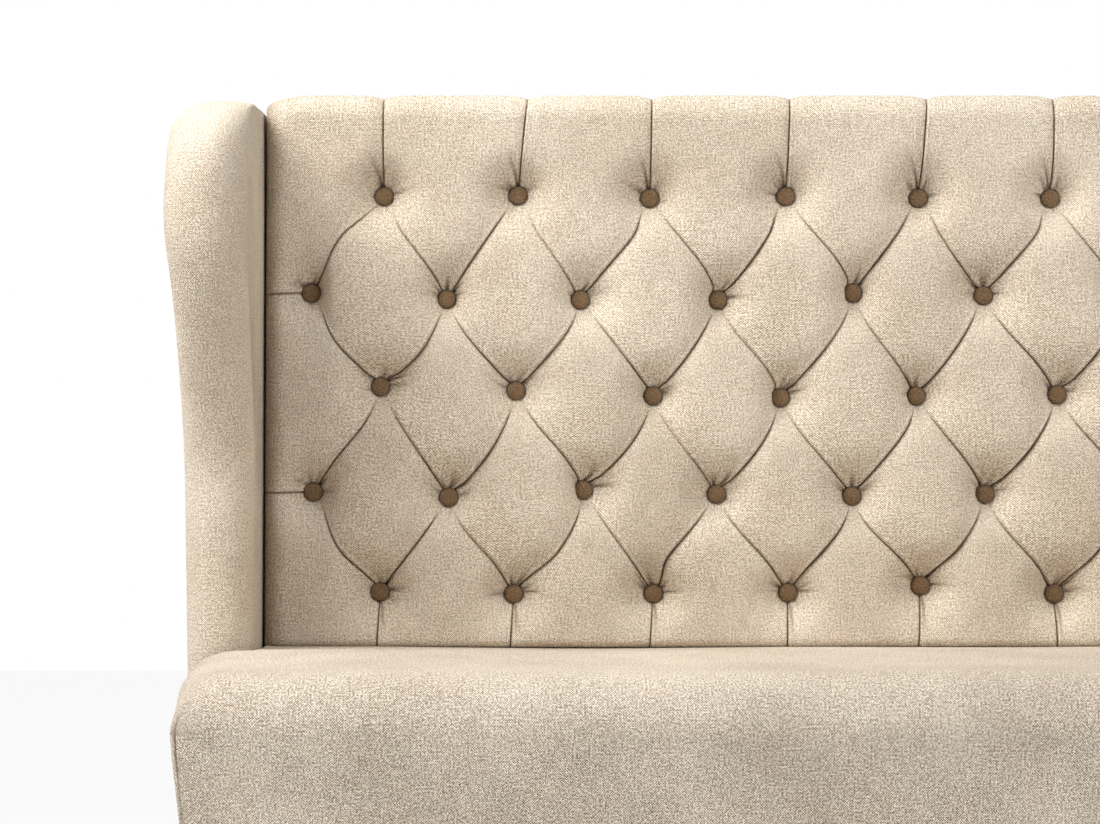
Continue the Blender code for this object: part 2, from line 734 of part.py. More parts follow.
def springs(wire):
    """Zigzag springs from the front rail to the rear rail, arched a little in the middle."""
    front = FRONT_RAIL_Y + SPRING_END
    rear = BUTTON_Y + REAR_RAIL_FRONT + RAIL - SPRING_END
    clear = SIDE_RAIL_OUTER - RAIL - 2 * SPRING_HALF_WIDTH
    for number in range(SPRINGS):
        middle = mix(-clear, clear, number / (SPRINGS - 1))
        curve = bpy.data.curves.new(f"seat_spring_{number + 1}", "CURVE")
        curve.dimensions = "3D"
        curve.bevel_depth = SPRING_WIRE
        curve.bevel_resolution = 1
        curve.use_fill_caps = True
        curve.materials.append(wire)
        points = []
        for bend in range(SPRING_BENDS):
            side = 1 if bend % 2 else -1
            for share in (bend / SPRING_BENDS, (bend + 1) / SPRING_BENDS):
                y = mix(front, rear, share)
                z = RAIL_TOP + SPRING_WIRE + FIT + SPRING_ARCH * math.sin(math.pi * share)
                points.append((middle + side * SPRING_HALF_WIDTH, y, z))
        spline = curve.splines.new("POLY")
        spline.points.add(len(points) - 1)
        for point, place in zip(spline.points, points):
            point.co = (*place, 1.0)
        obj = bpy.data.objects.new(f"seat_spring_{number + 1}", curve)
        bpy.context.scene.collection.objects.link(obj)


def legs(timber, leg_wood, steel, nylon, dust):
    """Tapered legs on hanger bolts that screw into the corner blocks, with nail-on glides."""
    seam = LEG_HEIGHT - DUST_COVER - FIT
    for name, x, y, splay, rake in leg_places():
        half = BLOCK / 2
        low = (-half, -half, LEG_HEIGHT)
        corner = make(f"{name}_corner_block", block(low, (half, half, LEG_HEIGHT + BLOCK_HEIGHT)), timber)
        corner.location = (x, y, 0)
        hole_bottom = seam - HANGER_IN_LEG - HOLE_CLEARANCE
        hole_top = LEG_HEIGHT + BLOCK_HEIGHT + OVERRUN
        hole = rod(
            HANGER_RADIUS + HOLE_CLEARANCE,
            hole_top - hole_bottom,
            8,
            middle=(x, y, (hole_top + hole_bottom) / 2),
        )
        bore = cutter(f"cut_{name}_hanger_hole", hole)
        boolean(corner, bore)
        boolean(dust, bore)

        foot = GLIDE_HEIGHT + FIT
        top = seam - FIT
        shape = bmesh.new()
        bmesh.ops.create_cube(shape, size=1)
        for vert in shape.verts:
            upper = vert.co.z > 0
            side = LEG_TOP if upper else LEG_FOOT
            vert.co.x = vert.co.x * side + (0.0 if upper else splay)
            vert.co.y = vert.co.y * side + (0.0 if upper else rake)
            vert.co.z = top if upper else foot
        leg = make(f"{name}_leg", shape, leg_wood, place=(x, y, 0), smooth=True)
        edge = leg.modifiers.new("Edges", "BEVEL")
        edge.width = LEG_EDGE
        edge.segments = 2
        boolean(leg, bore)
        pin_hole = rod(
            GLIDE_PIN_RADIUS + HOLE_CLEARANCE,
            2 * GLIDE_PIN + 2 * HOLE_CLEARANCE,
            8,
            middle=(x + splay, y + rake, GLIDE_HEIGHT),
        )
        boolean(leg, cutter(f"cut_{name}_glide_hole", pin_hole))

        bolt_length = HANGER_IN_LEG + HANGER_IN_BLOCK
        bolt_middle = (x, y, seam - HANGER_IN_LEG + bolt_length / 2)
        make(f"{name}_hanger_bolt", rod(HANGER_RADIUS, bolt_length, 8, middle=bolt_middle), steel)

        glide = bmesh.new()
        profile = (
            (0, 0),
            (GLIDE_FOOT_RADIUS, 0),
            (GLIDE_RADIUS, GLIDE_HEIGHT / 2),
            (GLIDE_SHOULDER_RADIUS, GLIDE_HEIGHT),
            (GLIDE_PIN_RADIUS, GLIDE_HEIGHT),
            (GLIDE_PIN_RADIUS, GLIDE_HEIGHT + GLIDE_PIN - HOLE_CLEARANCE),
            (0, GLIDE_HEIGHT + GLIDE_PIN),
        )
        line = [glide.verts.new((radius, 0, height)) for radius, height in profile]
        edges = [glide.edges.new(pair) for pair in zip(line, line[1:])]
        turned = line + edges
        bmesh.ops.spin(
            glide, geom=turned, axis=(0, 0, 1), cent=(0, 0, 0), angle=math.tau, steps=10, use_merge=True
        )
        bmesh.ops.remove_doubles(glide, verts=glide.verts, dist=FIT / 10)
        make(f"{name}_glide", glide, nylon, place=(x + splay, y + rake, 0))


def dust_cover(cloth):
    """A thin cloth under the frame. The leg bolts pass through it."""
    half = SIDE_RAIL_OUTER - DUST_MARGIN
    low = (-half, FRONT_RAIL_Y + DUST_MARGIN, LEG_HEIGHT - DUST_COVER)
    high = (half, BUTTON_Y + POST_REAR - DUST_MARGIN, LEG_HEIGHT - FIT)
    return make("dust_cover", block(low, high), cloth)


def frame_bolts(back, rear_rail, back_rail, steel):
    """Bolts through the seat's rear rail into the bottom rail of the back."""
    length = RAIL + FIT + POST_DEPTH - BOLT_SHORT_OF_REAR
    start = REAR_RAIL_FRONT - FIT
    z = LEG_HEIGHT + BACK_RAIL_HEIGHT / 2
    for number in range(BOLTS):
        x = (number - (BOLTS - 1) / 2) * BOLT_SPACING
        name = f"frame_bolt_{number + 1}"
        shank = rod(BOLT_RADIUS, length, 8, "Y", (x, start + length / 2, z))
        bolt = make(name, lean(shank), steel, back)
        head = rod(BOLT_HEAD_RADIUS, BOLT_HEAD, 6, "Y", (x, start - BOLT_HEAD / 2 + FIT / 2, z))
        boolean(bolt, cutter(f"head_of_{name}", lean(head), back), "UNION")
        wide = BOLT_RADIUS + HOLE_CLEARANCE
        hole = rod(wide, length + 2 * OVERRUN, 8, "Y", (x, start + length / 2, z))
        bore = cutter(f"cut_{name}_hole", lean(hole), back)
        boolean(rear_rail, bore)
        boolean(back_rail, bore)


def build():
    clear_scene()
    linen = finish("linen", (0.63, 0.52, 0.40), 0.9)
    button_cloth = finish("button_cloth", (0.20, 0.13, 0.08), 0.85)
    foam = finish("foam", (0.80, 0.74, 0.52), 0.95)
    timber = finish("pine", (0.62, 0.44, 0.26), 0.7)
    board = finish("hardboard", (0.32, 0.20, 0.11), 0.6)
    leg_wood = finish("walnut_stain", (0.10, 0.05, 0.03), 0.4)
    steel = finish("steel", (0.55, 0.55, 0.56), 0.35, 1.0)
    nylon = finish("nylon", (0.75, 0.74, 0.70), 0.5)
    lining = finish("black_lining", (0.03, 0.03, 0.03), 0.95)

    back = bpy.data.objects.new("back_assembly", None)
    bpy.context.scene.collection.objects.link(back)
    back.location.y = BUTTON_Y

    slits = twine_cutter(TWINE_HOLE, PANEL_FRONT, back, "cut_twine_slits")
    tufted_cover(back, linen, slits)
    back_foam(back, foam, slits)
    tufting_panel(back, board)
    for row in range(BUTTON_ROWS):
        button_row(row, back, button_cloth)
    frame = back_frame(back, timber)
    outer_back(back, linen)
    wing("left", -1, back, linen, foam, timber)
    wing("right", 1, back, linen, foam, timber)

    seat_soft_parts(linen, foam, lining)
    rear_rail = seat_frame(back, timber)
    springs(steel)
    dust = dust_cover(lining)
    legs(timber, leg_wood, steel, nylon, dust)
    frame_bolts(back, rear_rail, frame["back_bottom_rail"], steel)


build()
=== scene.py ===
"""Looks for a two-seater wingback settee with a diamond-tufted back and a tight seat.

Metres. +X runs along the width, the front faces -Y and +Z is up.
"""

import math
import random

import bmesh
import bpy
from mathutils import Matrix, Vector


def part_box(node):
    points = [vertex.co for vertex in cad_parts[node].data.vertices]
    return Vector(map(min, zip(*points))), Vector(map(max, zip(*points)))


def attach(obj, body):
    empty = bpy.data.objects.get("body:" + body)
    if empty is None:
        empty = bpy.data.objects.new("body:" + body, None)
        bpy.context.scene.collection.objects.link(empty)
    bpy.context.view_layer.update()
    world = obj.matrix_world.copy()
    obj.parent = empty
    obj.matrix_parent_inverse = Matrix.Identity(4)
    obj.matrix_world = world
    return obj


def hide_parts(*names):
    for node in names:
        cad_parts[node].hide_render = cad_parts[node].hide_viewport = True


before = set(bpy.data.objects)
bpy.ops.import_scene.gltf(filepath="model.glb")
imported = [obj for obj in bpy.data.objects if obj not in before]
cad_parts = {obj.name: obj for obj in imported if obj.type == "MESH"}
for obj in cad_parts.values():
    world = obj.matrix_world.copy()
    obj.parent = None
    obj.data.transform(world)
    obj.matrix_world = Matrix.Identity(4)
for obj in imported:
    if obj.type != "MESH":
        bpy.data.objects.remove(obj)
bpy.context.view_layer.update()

# --- Linen -------------------------------------------------------------------------------------
# All the visible covers are cut from one roll of beige plain-weave cloth with slubby yarns.
# Its weave, its slubs and the painted shade in its folds are built once, as two node groups.


def new_group(name, inputs, outputs):
    """A shader node group with named sockets, and its input sockets in their order."""
    kinds = {"Place": "Vector", "Object place": "Vector", "Normal": "Vector"}
    kinds.update(dict.fromkeys(("Color", "Pale", "Deep", "Crease"), "Color"))
    group = bpy.data.node_groups.new(name, "ShaderNodeTree")
    for names, way in ((inputs, "INPUT"), (outputs, "OUTPUT")):
        for socket in names:
            kind = f"NodeSocket{kinds.get(socket, 'Float')}"
            group.interface.new_socket(socket, in_out=way, socket_type=kind)
    return group, group.nodes.new("NodeGroupInput").outputs[: len(inputs)]


def give_out(group, *values):
    """Links values to a group's outputs, in their order."""
    out = group.nodes.new("NodeGroupOutput")
    for value, socket in zip(values, out.inputs):
        group.links.new(value, socket)
    return group


def put(tree, kind, settings=(), **links):
    """A node with its settings, and each named or numbered input set to a value or linked to a socket."""
    node = tree.nodes.new(f"ShaderNode{kind}")
    for key, value in dict(settings).items():
        setattr(node, key, value)
    for key, value in links.items():
        name = int(key[1:]) if key[0] == "i" and key[1:].isdigit() else key.replace("_", " ")
        socket = node.inputs[name]
        if isinstance(value, bpy.types.NodeSocket):
            tree.links.new(value, socket)
        else:
            socket.default_value = value
    return node


def sums(tree, operation, first, second=0.5, third=0.5, clamp=False):
    """The result of a sum."""
    node = put(tree, "Math", {"operation": operation, "use_clamp": clamp}, i0=first, i1=second, i2=third)
    return node.outputs[0]


def span(tree, value, low, high, to_low=0.0, to_high=1.0):
    """A value from low to high, mapped to the other span and held inside it."""
    ends = {"From_Min": low, "From_Max": high, "To_Min": to_low, "To_Max": to_high}
    return put(tree, "MapRange", {"clamp": True}, Value=value, **ends).outputs[0]


def stretched(tree, place, by):
    """A place multiplied along each axis."""
    return put(tree, "VectorMath", {"operation": "MULTIPLY"}, i0=place, i1=by).outputs[0]


def noise(tree, place, scale, detail, roughness=0.5, dimensions="3D"):
    """The value of a noise pattern at a place."""
    settings = {"noise_dimensions": dimensions}
    node = put(tree, "TexNoise", settings, Vector=place, Scale=scale, Detail=detail, Roughness=roughness)
    return node.outputs[0]


def mixed(tree, share, first, second, blend="MIX"):
    """The first colour where the share is 0, the second where it is 1."""
    settings = {"data_type": "RGBA", "blend_type": blend}
    return put(tree, "Mix", settings, Factor=share, i6=first, i7=second).outputs[2]


def plain_weave():
    """Over and under yarns with thick and thin places: a height, and a light or dark yarn shade."""
    group, (place, yarns, slubs) = new_group(
        "Plain weave", ("Place", "Yarns per metre", "Slubs"), ("Height", "Yarn", "Streaks")
    )
    drift = put(group, "TexNoise", {"noise_dimensions": "3D"}, Vector=place, Scale=95.0, Detail=2.0)
    moved = put(group, "VectorMath", {"operation": "SCALE"}, i0=drift.outputs["Color"], Scale=0.0022)
    strayed = put(group, "VectorMath", {"operation": "ADD"}, i0=place, i1=moved.outputs[0])
    counted = put(group, "VectorMath", {"operation": "SCALE"}, i0=strayed.outputs[0], Scale=yarns).outputs[0]
    parts = put(group, "SeparateXYZ", i0=counted)
    across = sums(group, "SINE", sums(group, "MULTIPLY", parts.outputs[0], math.pi))
    along = sums(group, "SINE", sums(group, "MULTIPLY", parts.outputs[1], math.pi))
    crossing = sums(group, "MULTIPLY", across, along)
    streaks = []
    for along_yarn in ((0.075, 0.62, 1.0), (0.62, 0.06, 1.0)):
        thick = noise(group, stretched(group, counted, along_yarn), 1.0, 1.0, dimensions="2D")
        streaks.append(span(group, thick, 0.3, 0.7, -1.0, 1.0))
    streak = sums(group, "MULTIPLY", sums(group, "ADD", *streaks), 0.5)
    specks = span(group, noise(group, counted, 0.62, 1.0, dimensions="2D"), 0.3, 0.7, -1.0, 1.0)
    slubbed = sums(group, "MULTIPLY", streak, slubs)
    height = sums(group, "MULTIPLY_ADD", slubbed, 0.7, sums(group, "MULTIPLY", crossing, 0.55))
    lines = sums(group, "MULTIPLY_ADD", slubbed, 0.35, sums(group, "MULTIPLY", crossing, 1.25))
    return give_out(group, height, sums(group, "MULTIPLY_ADD", specks, 0.85, lines), slubbed)


def cloth_colour(weave_group):
    """The colour, roughness and normal of a woven cover, from its weave, painted shade in its folds and long wear.
    """
    group, (place, body_place, fold, pale, deep, crease, relief) = new_group(
        "Woven cover",
        ("Place", "Object place", "Fold", "Pale", "Deep", "Crease", "Relief"),
        ("Color", "Roughness", "Normal"),
    )
    weave = put(group, "Group", {"node_tree": weave_group}, Place=place, Yarns_per_metre=880.0, Slubs=1.0).outputs
    shade = span(group, weave["Yarn"], -1.0, 1.0)
    cloudy = span(group, noise(group, body_place, 7.5, 4.0, 0.6), 0.35, 0.65, -0.10, 0.10)
    warmth = span(group, noise(group, body_place, 23.0, 3.0), 0.4, 0.7, 0.0, 0.4)
    woven = mixed(group, sums(group, "ADD", shade, cloudy, clamp=True), deep, pale)
    tinted = mixed(group, warmth, woven, (1.0, 0.955, 0.945, 1.0), "MULTIPLY")
    # painted shade: the colour goes towards the crease shade colour where the fold shade attribute is high
    fold_shaded = mixed(group, sums(group, "MULTIPLY", fold, 0.93, clamp=True), tinted, crease)
    rough = span(group, weave["Streaks"], -1.0, 1.0, 0.96, 0.84)
    bump = put(group, "Bump", Strength=relief, Distance=0.0006, Height=weave["Height"])
    return give_out(group, fold_shaded, rough, bump.outputs[0])


cover_group = cloth_colour(plain_weave())


def new_material(name, plain):
    """A material whose shader has plain values: itself, its node tree and its shader."""
    material = bpy.data.materials.new(name)
    material.use_nodes = True
    shader = material.node_tree.nodes["Principled BSDF"]
    for socket, value in plain.items():
        shader.inputs[socket].default_value = value
    return material, material.node_tree, shader


def feed(tree, node, shader):
    """Links a node group's outputs to the shader's inputs of the same name."""
    for output in node.outputs:
        socket = shader.inputs.get("Base Color" if output.name == "Color" else output.name)
        if socket is not None:
            tree.links.new(output, socket)


def cloth_material(name, pale, deep, crease, relief, sheen=0.25):
    """A woven cloth that follows the piece's own UV map, in metres, with painted shade in its folds."""
    nap = {"Sheen Weight": sheen, "Sheen Roughness": 0.5, "Sheen Tint": (0.95, 0.85, 0.70, 1.0)}
    material, tree, shader = new_material(name, {**nap, "Specular IOR Level": 0.25})
    places = {
        "Place": put(tree, "UVMap", {"uv_map": "cloth"}).outputs[0],
        "Object_place": put(tree, "TexCoord").outputs["Object"],
        "Fold": put(tree, "Attribute", {"attribute_name": "fold"}).outputs["Fac"],
    }
    colours = {"Pale": (*pale, 1.0), "Deep": (*deep, 1.0), "Crease": (*crease, 1.0)}
    feed(tree, put(tree, "Group", {"node_tree": cover_group}, Relief=relief, **places, **colours), shader)
    return material


# the second colour is the brown that the painted shade in the folds goes to
bleached, fold_shade_brown = (0.98, 0.88, 0.745), (0.13, 0.060, 0.023)
linen = cloth_material("linen", bleached, (0.375, 0.288, 0.188), fold_shade_brown, relief=0.9)

# --- Tufted back -------------------------------------------------------------------------------
# The padded back: linen over wadding and foam, pulled in by 42 buttons and folded into diamonds.
# The folds run from button to button and, past the outer buttons, straight out as pleats.
leg_height = 0.235
button_plane = 0.14405
lean_back = math.tan(math.radians(3))
button_pitch = 0.1383
half_pitch = button_pitch / 2
row_pitch = 0.1016
low_row = 0.5306
top_row = low_row + 4 * row_pitch
outer_button = 4 * button_pitch
back_half = 0.6050
back_top = 1.0425
back_foot = 0.4742
back_rear = 0.1080
close = 0.0001
edge_roll = 0.026
corner_fall = 0.055
foot_pleat_run = 0.0504
well_radius, well_reach = 0.0095, 0.052
fold_reach = 0.012
fold_spacing = 0.1143
lines_per_diamond = 42


def ease(share):
    """A share held between 0 and 1, with soft ends."""
    share = min(max(share, 0.0), 1.0)
    return share * share * (3 - 2 * share)


def between(low, high, share):
    """The value at a share of the way from low to high."""
    return low + (high - low) * share


def bell(distance, width):
    """1 in the middle, falling off on both sides."""
    return math.exp(-((distance / width) ** 2))


def leaned(x, depth, z):
    """A place on the back, depth behind the plane of the buttons."""
    return Vector((x, depth + button_plane + lean_back * (z - leg_height), z))


def drawn_in(share, tightness=0.10):
    """Spaces the lines of the mesh closer together at the folds."""
    return tightness * share + (1 - tightness) * (0.5 - 0.5 * math.cos(math.pi * share))


def stations(length, first, last, count):
    """Steps outwards along a strip, small at first, larger, then small again."""
    shares = [k / (count - 1) for k in range(count)]
    sizes = [between(first, last, share) * (1 + 3 * math.sin(math.pi * share)) for share in shares]
    return [size * length / sum(sizes) for size in sizes]


def drawn_out(bm, edges):
    """Extrudes open edges: the new verts, and the edges that run along them."""
    made = bmesh.ops.extrude_edge_only(bm, edges=edges)["geom"]
    verts = {item for item in made if isinstance(item, bmesh.types.BMVert)}
    return verts, [item for item in made if isinstance(item, bmesh.types.BMEdge) and set(item.verts) <= verts]


def extend(bm, at_edge, move, steps):
    """Extrudes the open edges whose ends pass at_edge, once for each step along move."""
    edges = [edge for edge in bm.edges if edge.is_boundary and all(at_edge(vert.co) for vert in edge.verts)]
    for step in steps:
        verts, edges = drawn_out(bm, edges)
        bmesh.ops.translate(bm, vec=move * step, verts=list(verts))


def layers_of(bm, *names):
    """New number layers on the verts."""
    return [bm.verts.layers.float.new(name) for name in names]


def lay(bm, flat):
    """Writes the cloth's own map, in metres: flat gives the place of a vert on the cloth."""
    uv_layer = bm.loops.layers.uv.new("cloth")
    for face in bm.faces:
        for loop in face.loops:
            loop[uv_layer].uv = flat(loop.vert)


def flat_back():
    """The back's cloth laid out flat, its lines running along the folds and close to them."""
    bm = bmesh.new()
    units = 11
    lines = units * lines_per_diamond
    bmesh.ops.create_grid(bm, x_segments=lines, y_segments=lines, size=units / 2)
    for vert in bm.verts:
        place = []
        for value, start in ((vert.co.x, -1), (vert.co.y, -2)):
            line = round((value + units / 2) * lines_per_diamond)
            whole, part = divmod(line, lines_per_diamond)
            place.append(start + whole + drawn_in(part / lines_per_diamond))
        u, v = place
        vert.co = ((u + v) * half_pitch - outer_button, 0, (u - v + 1) * row_pitch + low_row)
    for point, away in (
        ((-outer_button, 0, 0), (-1, 0, 0)),
        ((outer_button, 0, 0), (1, 0, 0)),
        ((0, 0, low_row), (0, 0, -1)),
        ((0, 0, top_row), (0, 0, 1)),
    ):
        everything = bm.verts[:] + bm.edges[:] + bm.faces[:]
        bmesh.ops.bisect_plane(bm, geom=everything, dist=0.00002, plane_co=point, plane_no=away, clear_outer=True)
    upwards = stations(back_top - top_row, 1.0, 0.35, 34)
    extend(bm, lambda co: co.z > top_row - close, Vector((0, 0, 1)), upwards)
    downwards = stations(low_row - back_foot, 1.0, 0.5, 20)
    extend(bm, lambda co: co.z < low_row + close, Vector((0, 0, -1)), downwards)
    sideways = stations(back_half - outer_button, 1.0, 0.4, 20)
    extend(bm, lambda co: co.x > outer_button - close, Vector((1, 0, 0)), sideways)
    extend(bm, lambda co: co.x < -outer_button + close, Vector((-1, 0, 0)), sideways)
    return bm


# how far each photographed button sits from its even place, across and up, in millimetres
button_strays = {
    (0, 1): (0.9, 0.6), (0, 3): (0.7, 1.6), (0, 5): (-1.6, -1.4), (0, 7): (0.1, 0.6), (0, 9): (-1.1, -1.4),
    (1, 0): (-5.0, 2.3), (1, 2): (-3.3, -3.9), (1, 4): (-4.6, -4.9), (1, 6): (-0.7, -4.9), (1, 8): (0.0, 2.3),
    (2, 1): (-2.2, 7.1), (2, 3): (-1.3, 3.0), (2, 5): (1.4, -2.2), (2, 7): (-6.1, -4.2), (2, 9): (-4.2, -2.2),
    (3, 0): (-2.0, 0.5), (3, 2): (-1.2, -4.6), (3, 4): (-1.5, 2.6), (3, 6): (-2.8, -1.5), (3, 8): (-2.1, -3.6),
    (4, 1): (-2.2, 0.1), (4, 3): (-3.4, -2.0), (4, 5): (1.4, -2.0), (4, 7): (1.1, -0.9), (4, 9): (-1.1, 6.3),
}
upholsterer = random.Random(11)
buttons = {}
for row in range(5):
    for across in range(1 - row % 2, 17, 2):
        stray = button_strays.get((row, across), (upholsterer.uniform(-4, 4), upholsterer.uniform(-4, 4)))
        up = 4 - row
        buttons[((across + up - 1) // 2, (across - up + 1) // 2)] = (stray[0] / 1000, stray[1] / 1000)
pleat_tops = {1: 0.0, 3: 0.010, 5: 0.002, 7: 0.004, 9: 0.008}
pleat_tops.update({across: upholsterer.uniform(0.0, 0.009) for across in (11, 13, 15)})
pleat_feet = {1: -0.002, 3: -0.003, 5: -0.004, 7: -0.002, 9: -0.004}
pleat_feet.update({across: upholsterer.uniform(-0.004, 0.002) for across in (11, 13, 15)})


def whims(seed, low, high):
    """A different but fixed number for each fold, from the fold's two lattice numbers."""
    return lambda line, cell: random.Random(seed * 100003 + line * 1009 + cell).uniform(low, high)


# how far each photographed fold bows towards +X, and how much more at its upper end, in millimetres:
# the folds that fall to the lower left, then the ones that fall to the lower right
slash_bends = {
    (-1, 1): (-13.0, 1.3), (0, 2): (-0.5, 0.1), (1, 3): (8.7, 2.6), (2, 4): (8.5, 0.5), (3, 5): (2.0, 0.7),
    (0, 1): (14.6, -2.5), (1, 2): (9.9, 1.6), (2, 3): (7.4, -0.1), (3, 4): (10.1, 1.0),
    (0, 0): (7.3, 2.7), (1, 1): (13.2, 0.0), (2, 2): (13.4, -0.8), (3, 3): (11.1, 0.3), (4, 4): (9.0, 2.6),
    (1, 0): (1.9, 0.3), (2, 1): (16.3, -0.3), (3, 2): (-7.9, 4.4), (4, 3): (7.2, 3.3),
}
back_bends = {
    (2, -1): (-2.1, -3.7), (3, 0): (-2.1, -3.0), (4, 1): (4.8, -2.9), (5, 2): (3.4, -2.8),
    (1, -1): (-13.2, -1.9), (2, 0): (-7.7, -0.7), (3, 1): (0.7, 0.4), (4, 2): (-0.6, -4.9), (5, 3): (-4.8, -3.4),
    (1, 0): (-2.6, -1.7), (2, 1): (0.8, -3.6), (3, 2): (-4.4, -2.7), (4, 3): (-5.1, -1.9),
    (0, 0): (-12.8, -1.4), (1, 1): (-2.5, -4.3), (2, 2): (-0.2, -1.1), (3, 3): (-2.3, -3.1), (4, 4): (-5.3, -3.3),
}
slash_whim, slash_skew = whims(1, 2.0, 13.0), whims(9, -1.0, 2.5)
back_whim, back_skew = whims(2, -6.0, 3.0), whims(10, -4.0, 0.0)


def bend(bends, whim, skew, line, cell, share):
    """How far a fold lies off its straight line, at a share of the way down it."""
    bow, lean = bends.get((line, cell)) or (whim(line, cell), skew(line, cell))
    return (bow * 4 * share * (1 - share) + lean * math.sin(math.tau * share)) / 1000


groove_slash = whims(3, 0.0024, 0.0036)
groove_back = whims(4, 0.0015, 0.0028)
dip_slash = whims(5, 0.0215, 0.0240)
dip_back = whims(6, 0.0220, 0.0245)
fullness = whims(7, 0.0280, 0.0305)
pucker = whims(8, 0.55, 1.15)
# how strong the painted shadow inside each fold's open flap is
flap_shadow = whims(12, -0.10, 0.95)
button_seat = 0.0010
pleat_height = 0.0272


def lattice(x, z):
    """A place in diamonds along both folds, its distance past the buttons, and its half pitches and rows."""
    inner_x = min(max(x, -outer_button), outer_button)
    inner_z = min(max(z, low_row), top_row)
    across = (inner_x + outer_button) / half_pitch
    up = (inner_z - low_row) / row_pitch
    return (across + up - 1) / 2, (across - up + 1) / 2, abs(x - inner_x) + abs(z - inner_z), across, up


def from_button(x, z, line_u, line_v):
    """How far a place lies from the button at a crossing of two folds, across and up."""
    return x - (line_u + line_v) * half_pitch + outer_button, z - (line_u - line_v + 1) * row_pitch - low_row


def fold_shape(beside, run, depth):
    """A sewn-in fold: a thin groove, a lip of cloth on its upper side, where beside is positive, and the painted
    shade along the groove.
    """
    groove = depth * bell(beside, 0.0008)
    lip = 0.0014 * bell(beside - 0.0024, 0.0014) - 0.0007 * bell(beside + 0.0026, 0.0018)
    return run * (lip - groove), run * bell(beside, 0.0009) * min(1.0, depth / 0.0028)


def tuft(x, z):
    """How far the cloth stands in front of the buttons' plane, and the painted shade of the folds on it."""
    u, v, beyond = lattice(x, z)[:3]
    line_u, line_v = round(u), round(v)
    off_u, off_v = u - line_u, v - line_v
    cell_u, cell_v = math.floor(u + 1e-9), math.floor(v + 1e-9)
    part_u, part_v = u - cell_u, v - cell_v
    near_u, near_v = 1 - 2 * abs(off_u), 1 - 2 * abs(off_v)
    past = ease(beyond / 0.045)
    full = between(fullness(cell_u, cell_v), 0.0290, past)
    puffed = (1 - near_u**4.5) * (1 - near_v**4.5)
    weight_u = near_u**8 / (near_u**8 + near_v**8 + 1e-12)
    valley = between(dip_slash(line_v, cell_u), dip_back(line_u, cell_v), weight_u)
    if beyond > 0:
        puffed = between(puffed, 1 - max(near_u, near_v) ** 14, past)
        valley = between(valley, pleat_height, past)
    height = between(valley, full, puffed)
    if (line_u, line_v) in buttons:
        reach = math.hypot(*from_button(x, z, line_u, line_v))
        well = max(0.0, 1 - max(0.0, reach - well_radius) / well_reach) ** 2.6
        height = between(height, button_seat - 0.004 * ease((well_radius - reach) / 0.003), well)
    fold = 0.0
    if beyond == 0:
        run_back = ease((part_v - 0.06) / 0.30)
        run_slash = ease((1 - part_u - 0.06) / 0.26)
        for beside, run, depth, down, open_flap_shadow in (
            (off_u * fold_spacing, run_back, groove_back(line_u, cell_v), part_v, 0.0),
            (-off_v * fold_spacing, run_slash, groove_slash(line_v, cell_u), 1 - part_u, flap_shadow(line_v, cell_u)),
        ):
            depth *= 0.85 + 0.55 * ease((down - 0.45) / 0.40)
            if abs(beside) < fold_reach:
                change, painted_dark = fold_shape(beside, run, depth)
                if beside < 0:
                    # painted shadow inside the open flap, on the lower side of the fold's line
                    painted_dark = max(painted_dark, open_flap_shadow * bell(beside, 0.0042) * bell(down - 0.60, 0.17))
                height += change
                fold = max(fold, painted_dark)
    else:
        in_row = abs(z - min(max(z, low_row), top_row)) > 0
        beside = off_u * 2 * (half_pitch if in_row else row_pitch)
        if abs(beside) < fold_reach:
            change, painted_dark = fold_shape(beside, ease(beyond / 0.012), 0.0030)
            height += change
            fold = max(fold, painted_dark)
    return height, fold


def button_pull(x, z):
    """How far the cloth is pulled sideways, with its strayed buttons, bowed folds and slanting pleats."""
    u, v, beyond, across, up = lattice(x, z)
    cell_u, cell_v = math.floor(u + 1e-9), math.floor(v + 1e-9)
    part_u, part_v = u - cell_u, v - cell_v
    ease_u, ease_v = ease(part_u), ease(part_v)
    shift = Vector((0, 0, 0))
    for du, dv, weight in (
        (0, 0, (1 - ease_u) * (1 - ease_v)),
        (1, 0, ease_u * (1 - ease_v)),
        (0, 1, (1 - ease_u) * ease_v),
        (1, 1, ease_u * ease_v),
    ):
        stray = buttons.get((cell_u + du, cell_v + dv), (0, 0))
        shift += Vector((stray[0], 0, stray[1])) * weight
    slashes = (bend(slash_bends, slash_whim, slash_skew, cell_v + k, cell_u, 1 - part_u) for k in (0, 1))
    backs = (bend(back_bends, back_whim, back_skew, cell_u + k, cell_v, part_v) for k in (0, 1))
    bow, other = between(*slashes, ease_v), between(*backs, ease_u)
    edge = min(1.0, (4 - up) * 2.5, up * 2.5, across * 1.5, (16 - across) * 1.5)
    from_nearest = math.hypot(*from_button(x, z, round(u), round(v)))
    shift.x += (bow + other) * ease(edge) * ease((from_nearest - 0.007) / 0.011)
    past_top, past_foot = (z - top_row) / (back_top - top_row), (low_row - z) / foot_pleat_run
    for table, past in ((pleat_tops, past_top), (pleat_feet, past_foot)):
        if past > 0:
            left = min(max(2 * math.floor((across - 1) / 2) + 1, 1), 15)
            right = min(left + 2, 15)
            shift.x += past * between(table[left], table[right], ease((across - left) / 2))
    shift.z *= 1 - ease(beyond / 0.06)
    shift.x *= 1 - ease((abs(x) - outer_button) / (back_half - outer_button - 0.004))
    return shift


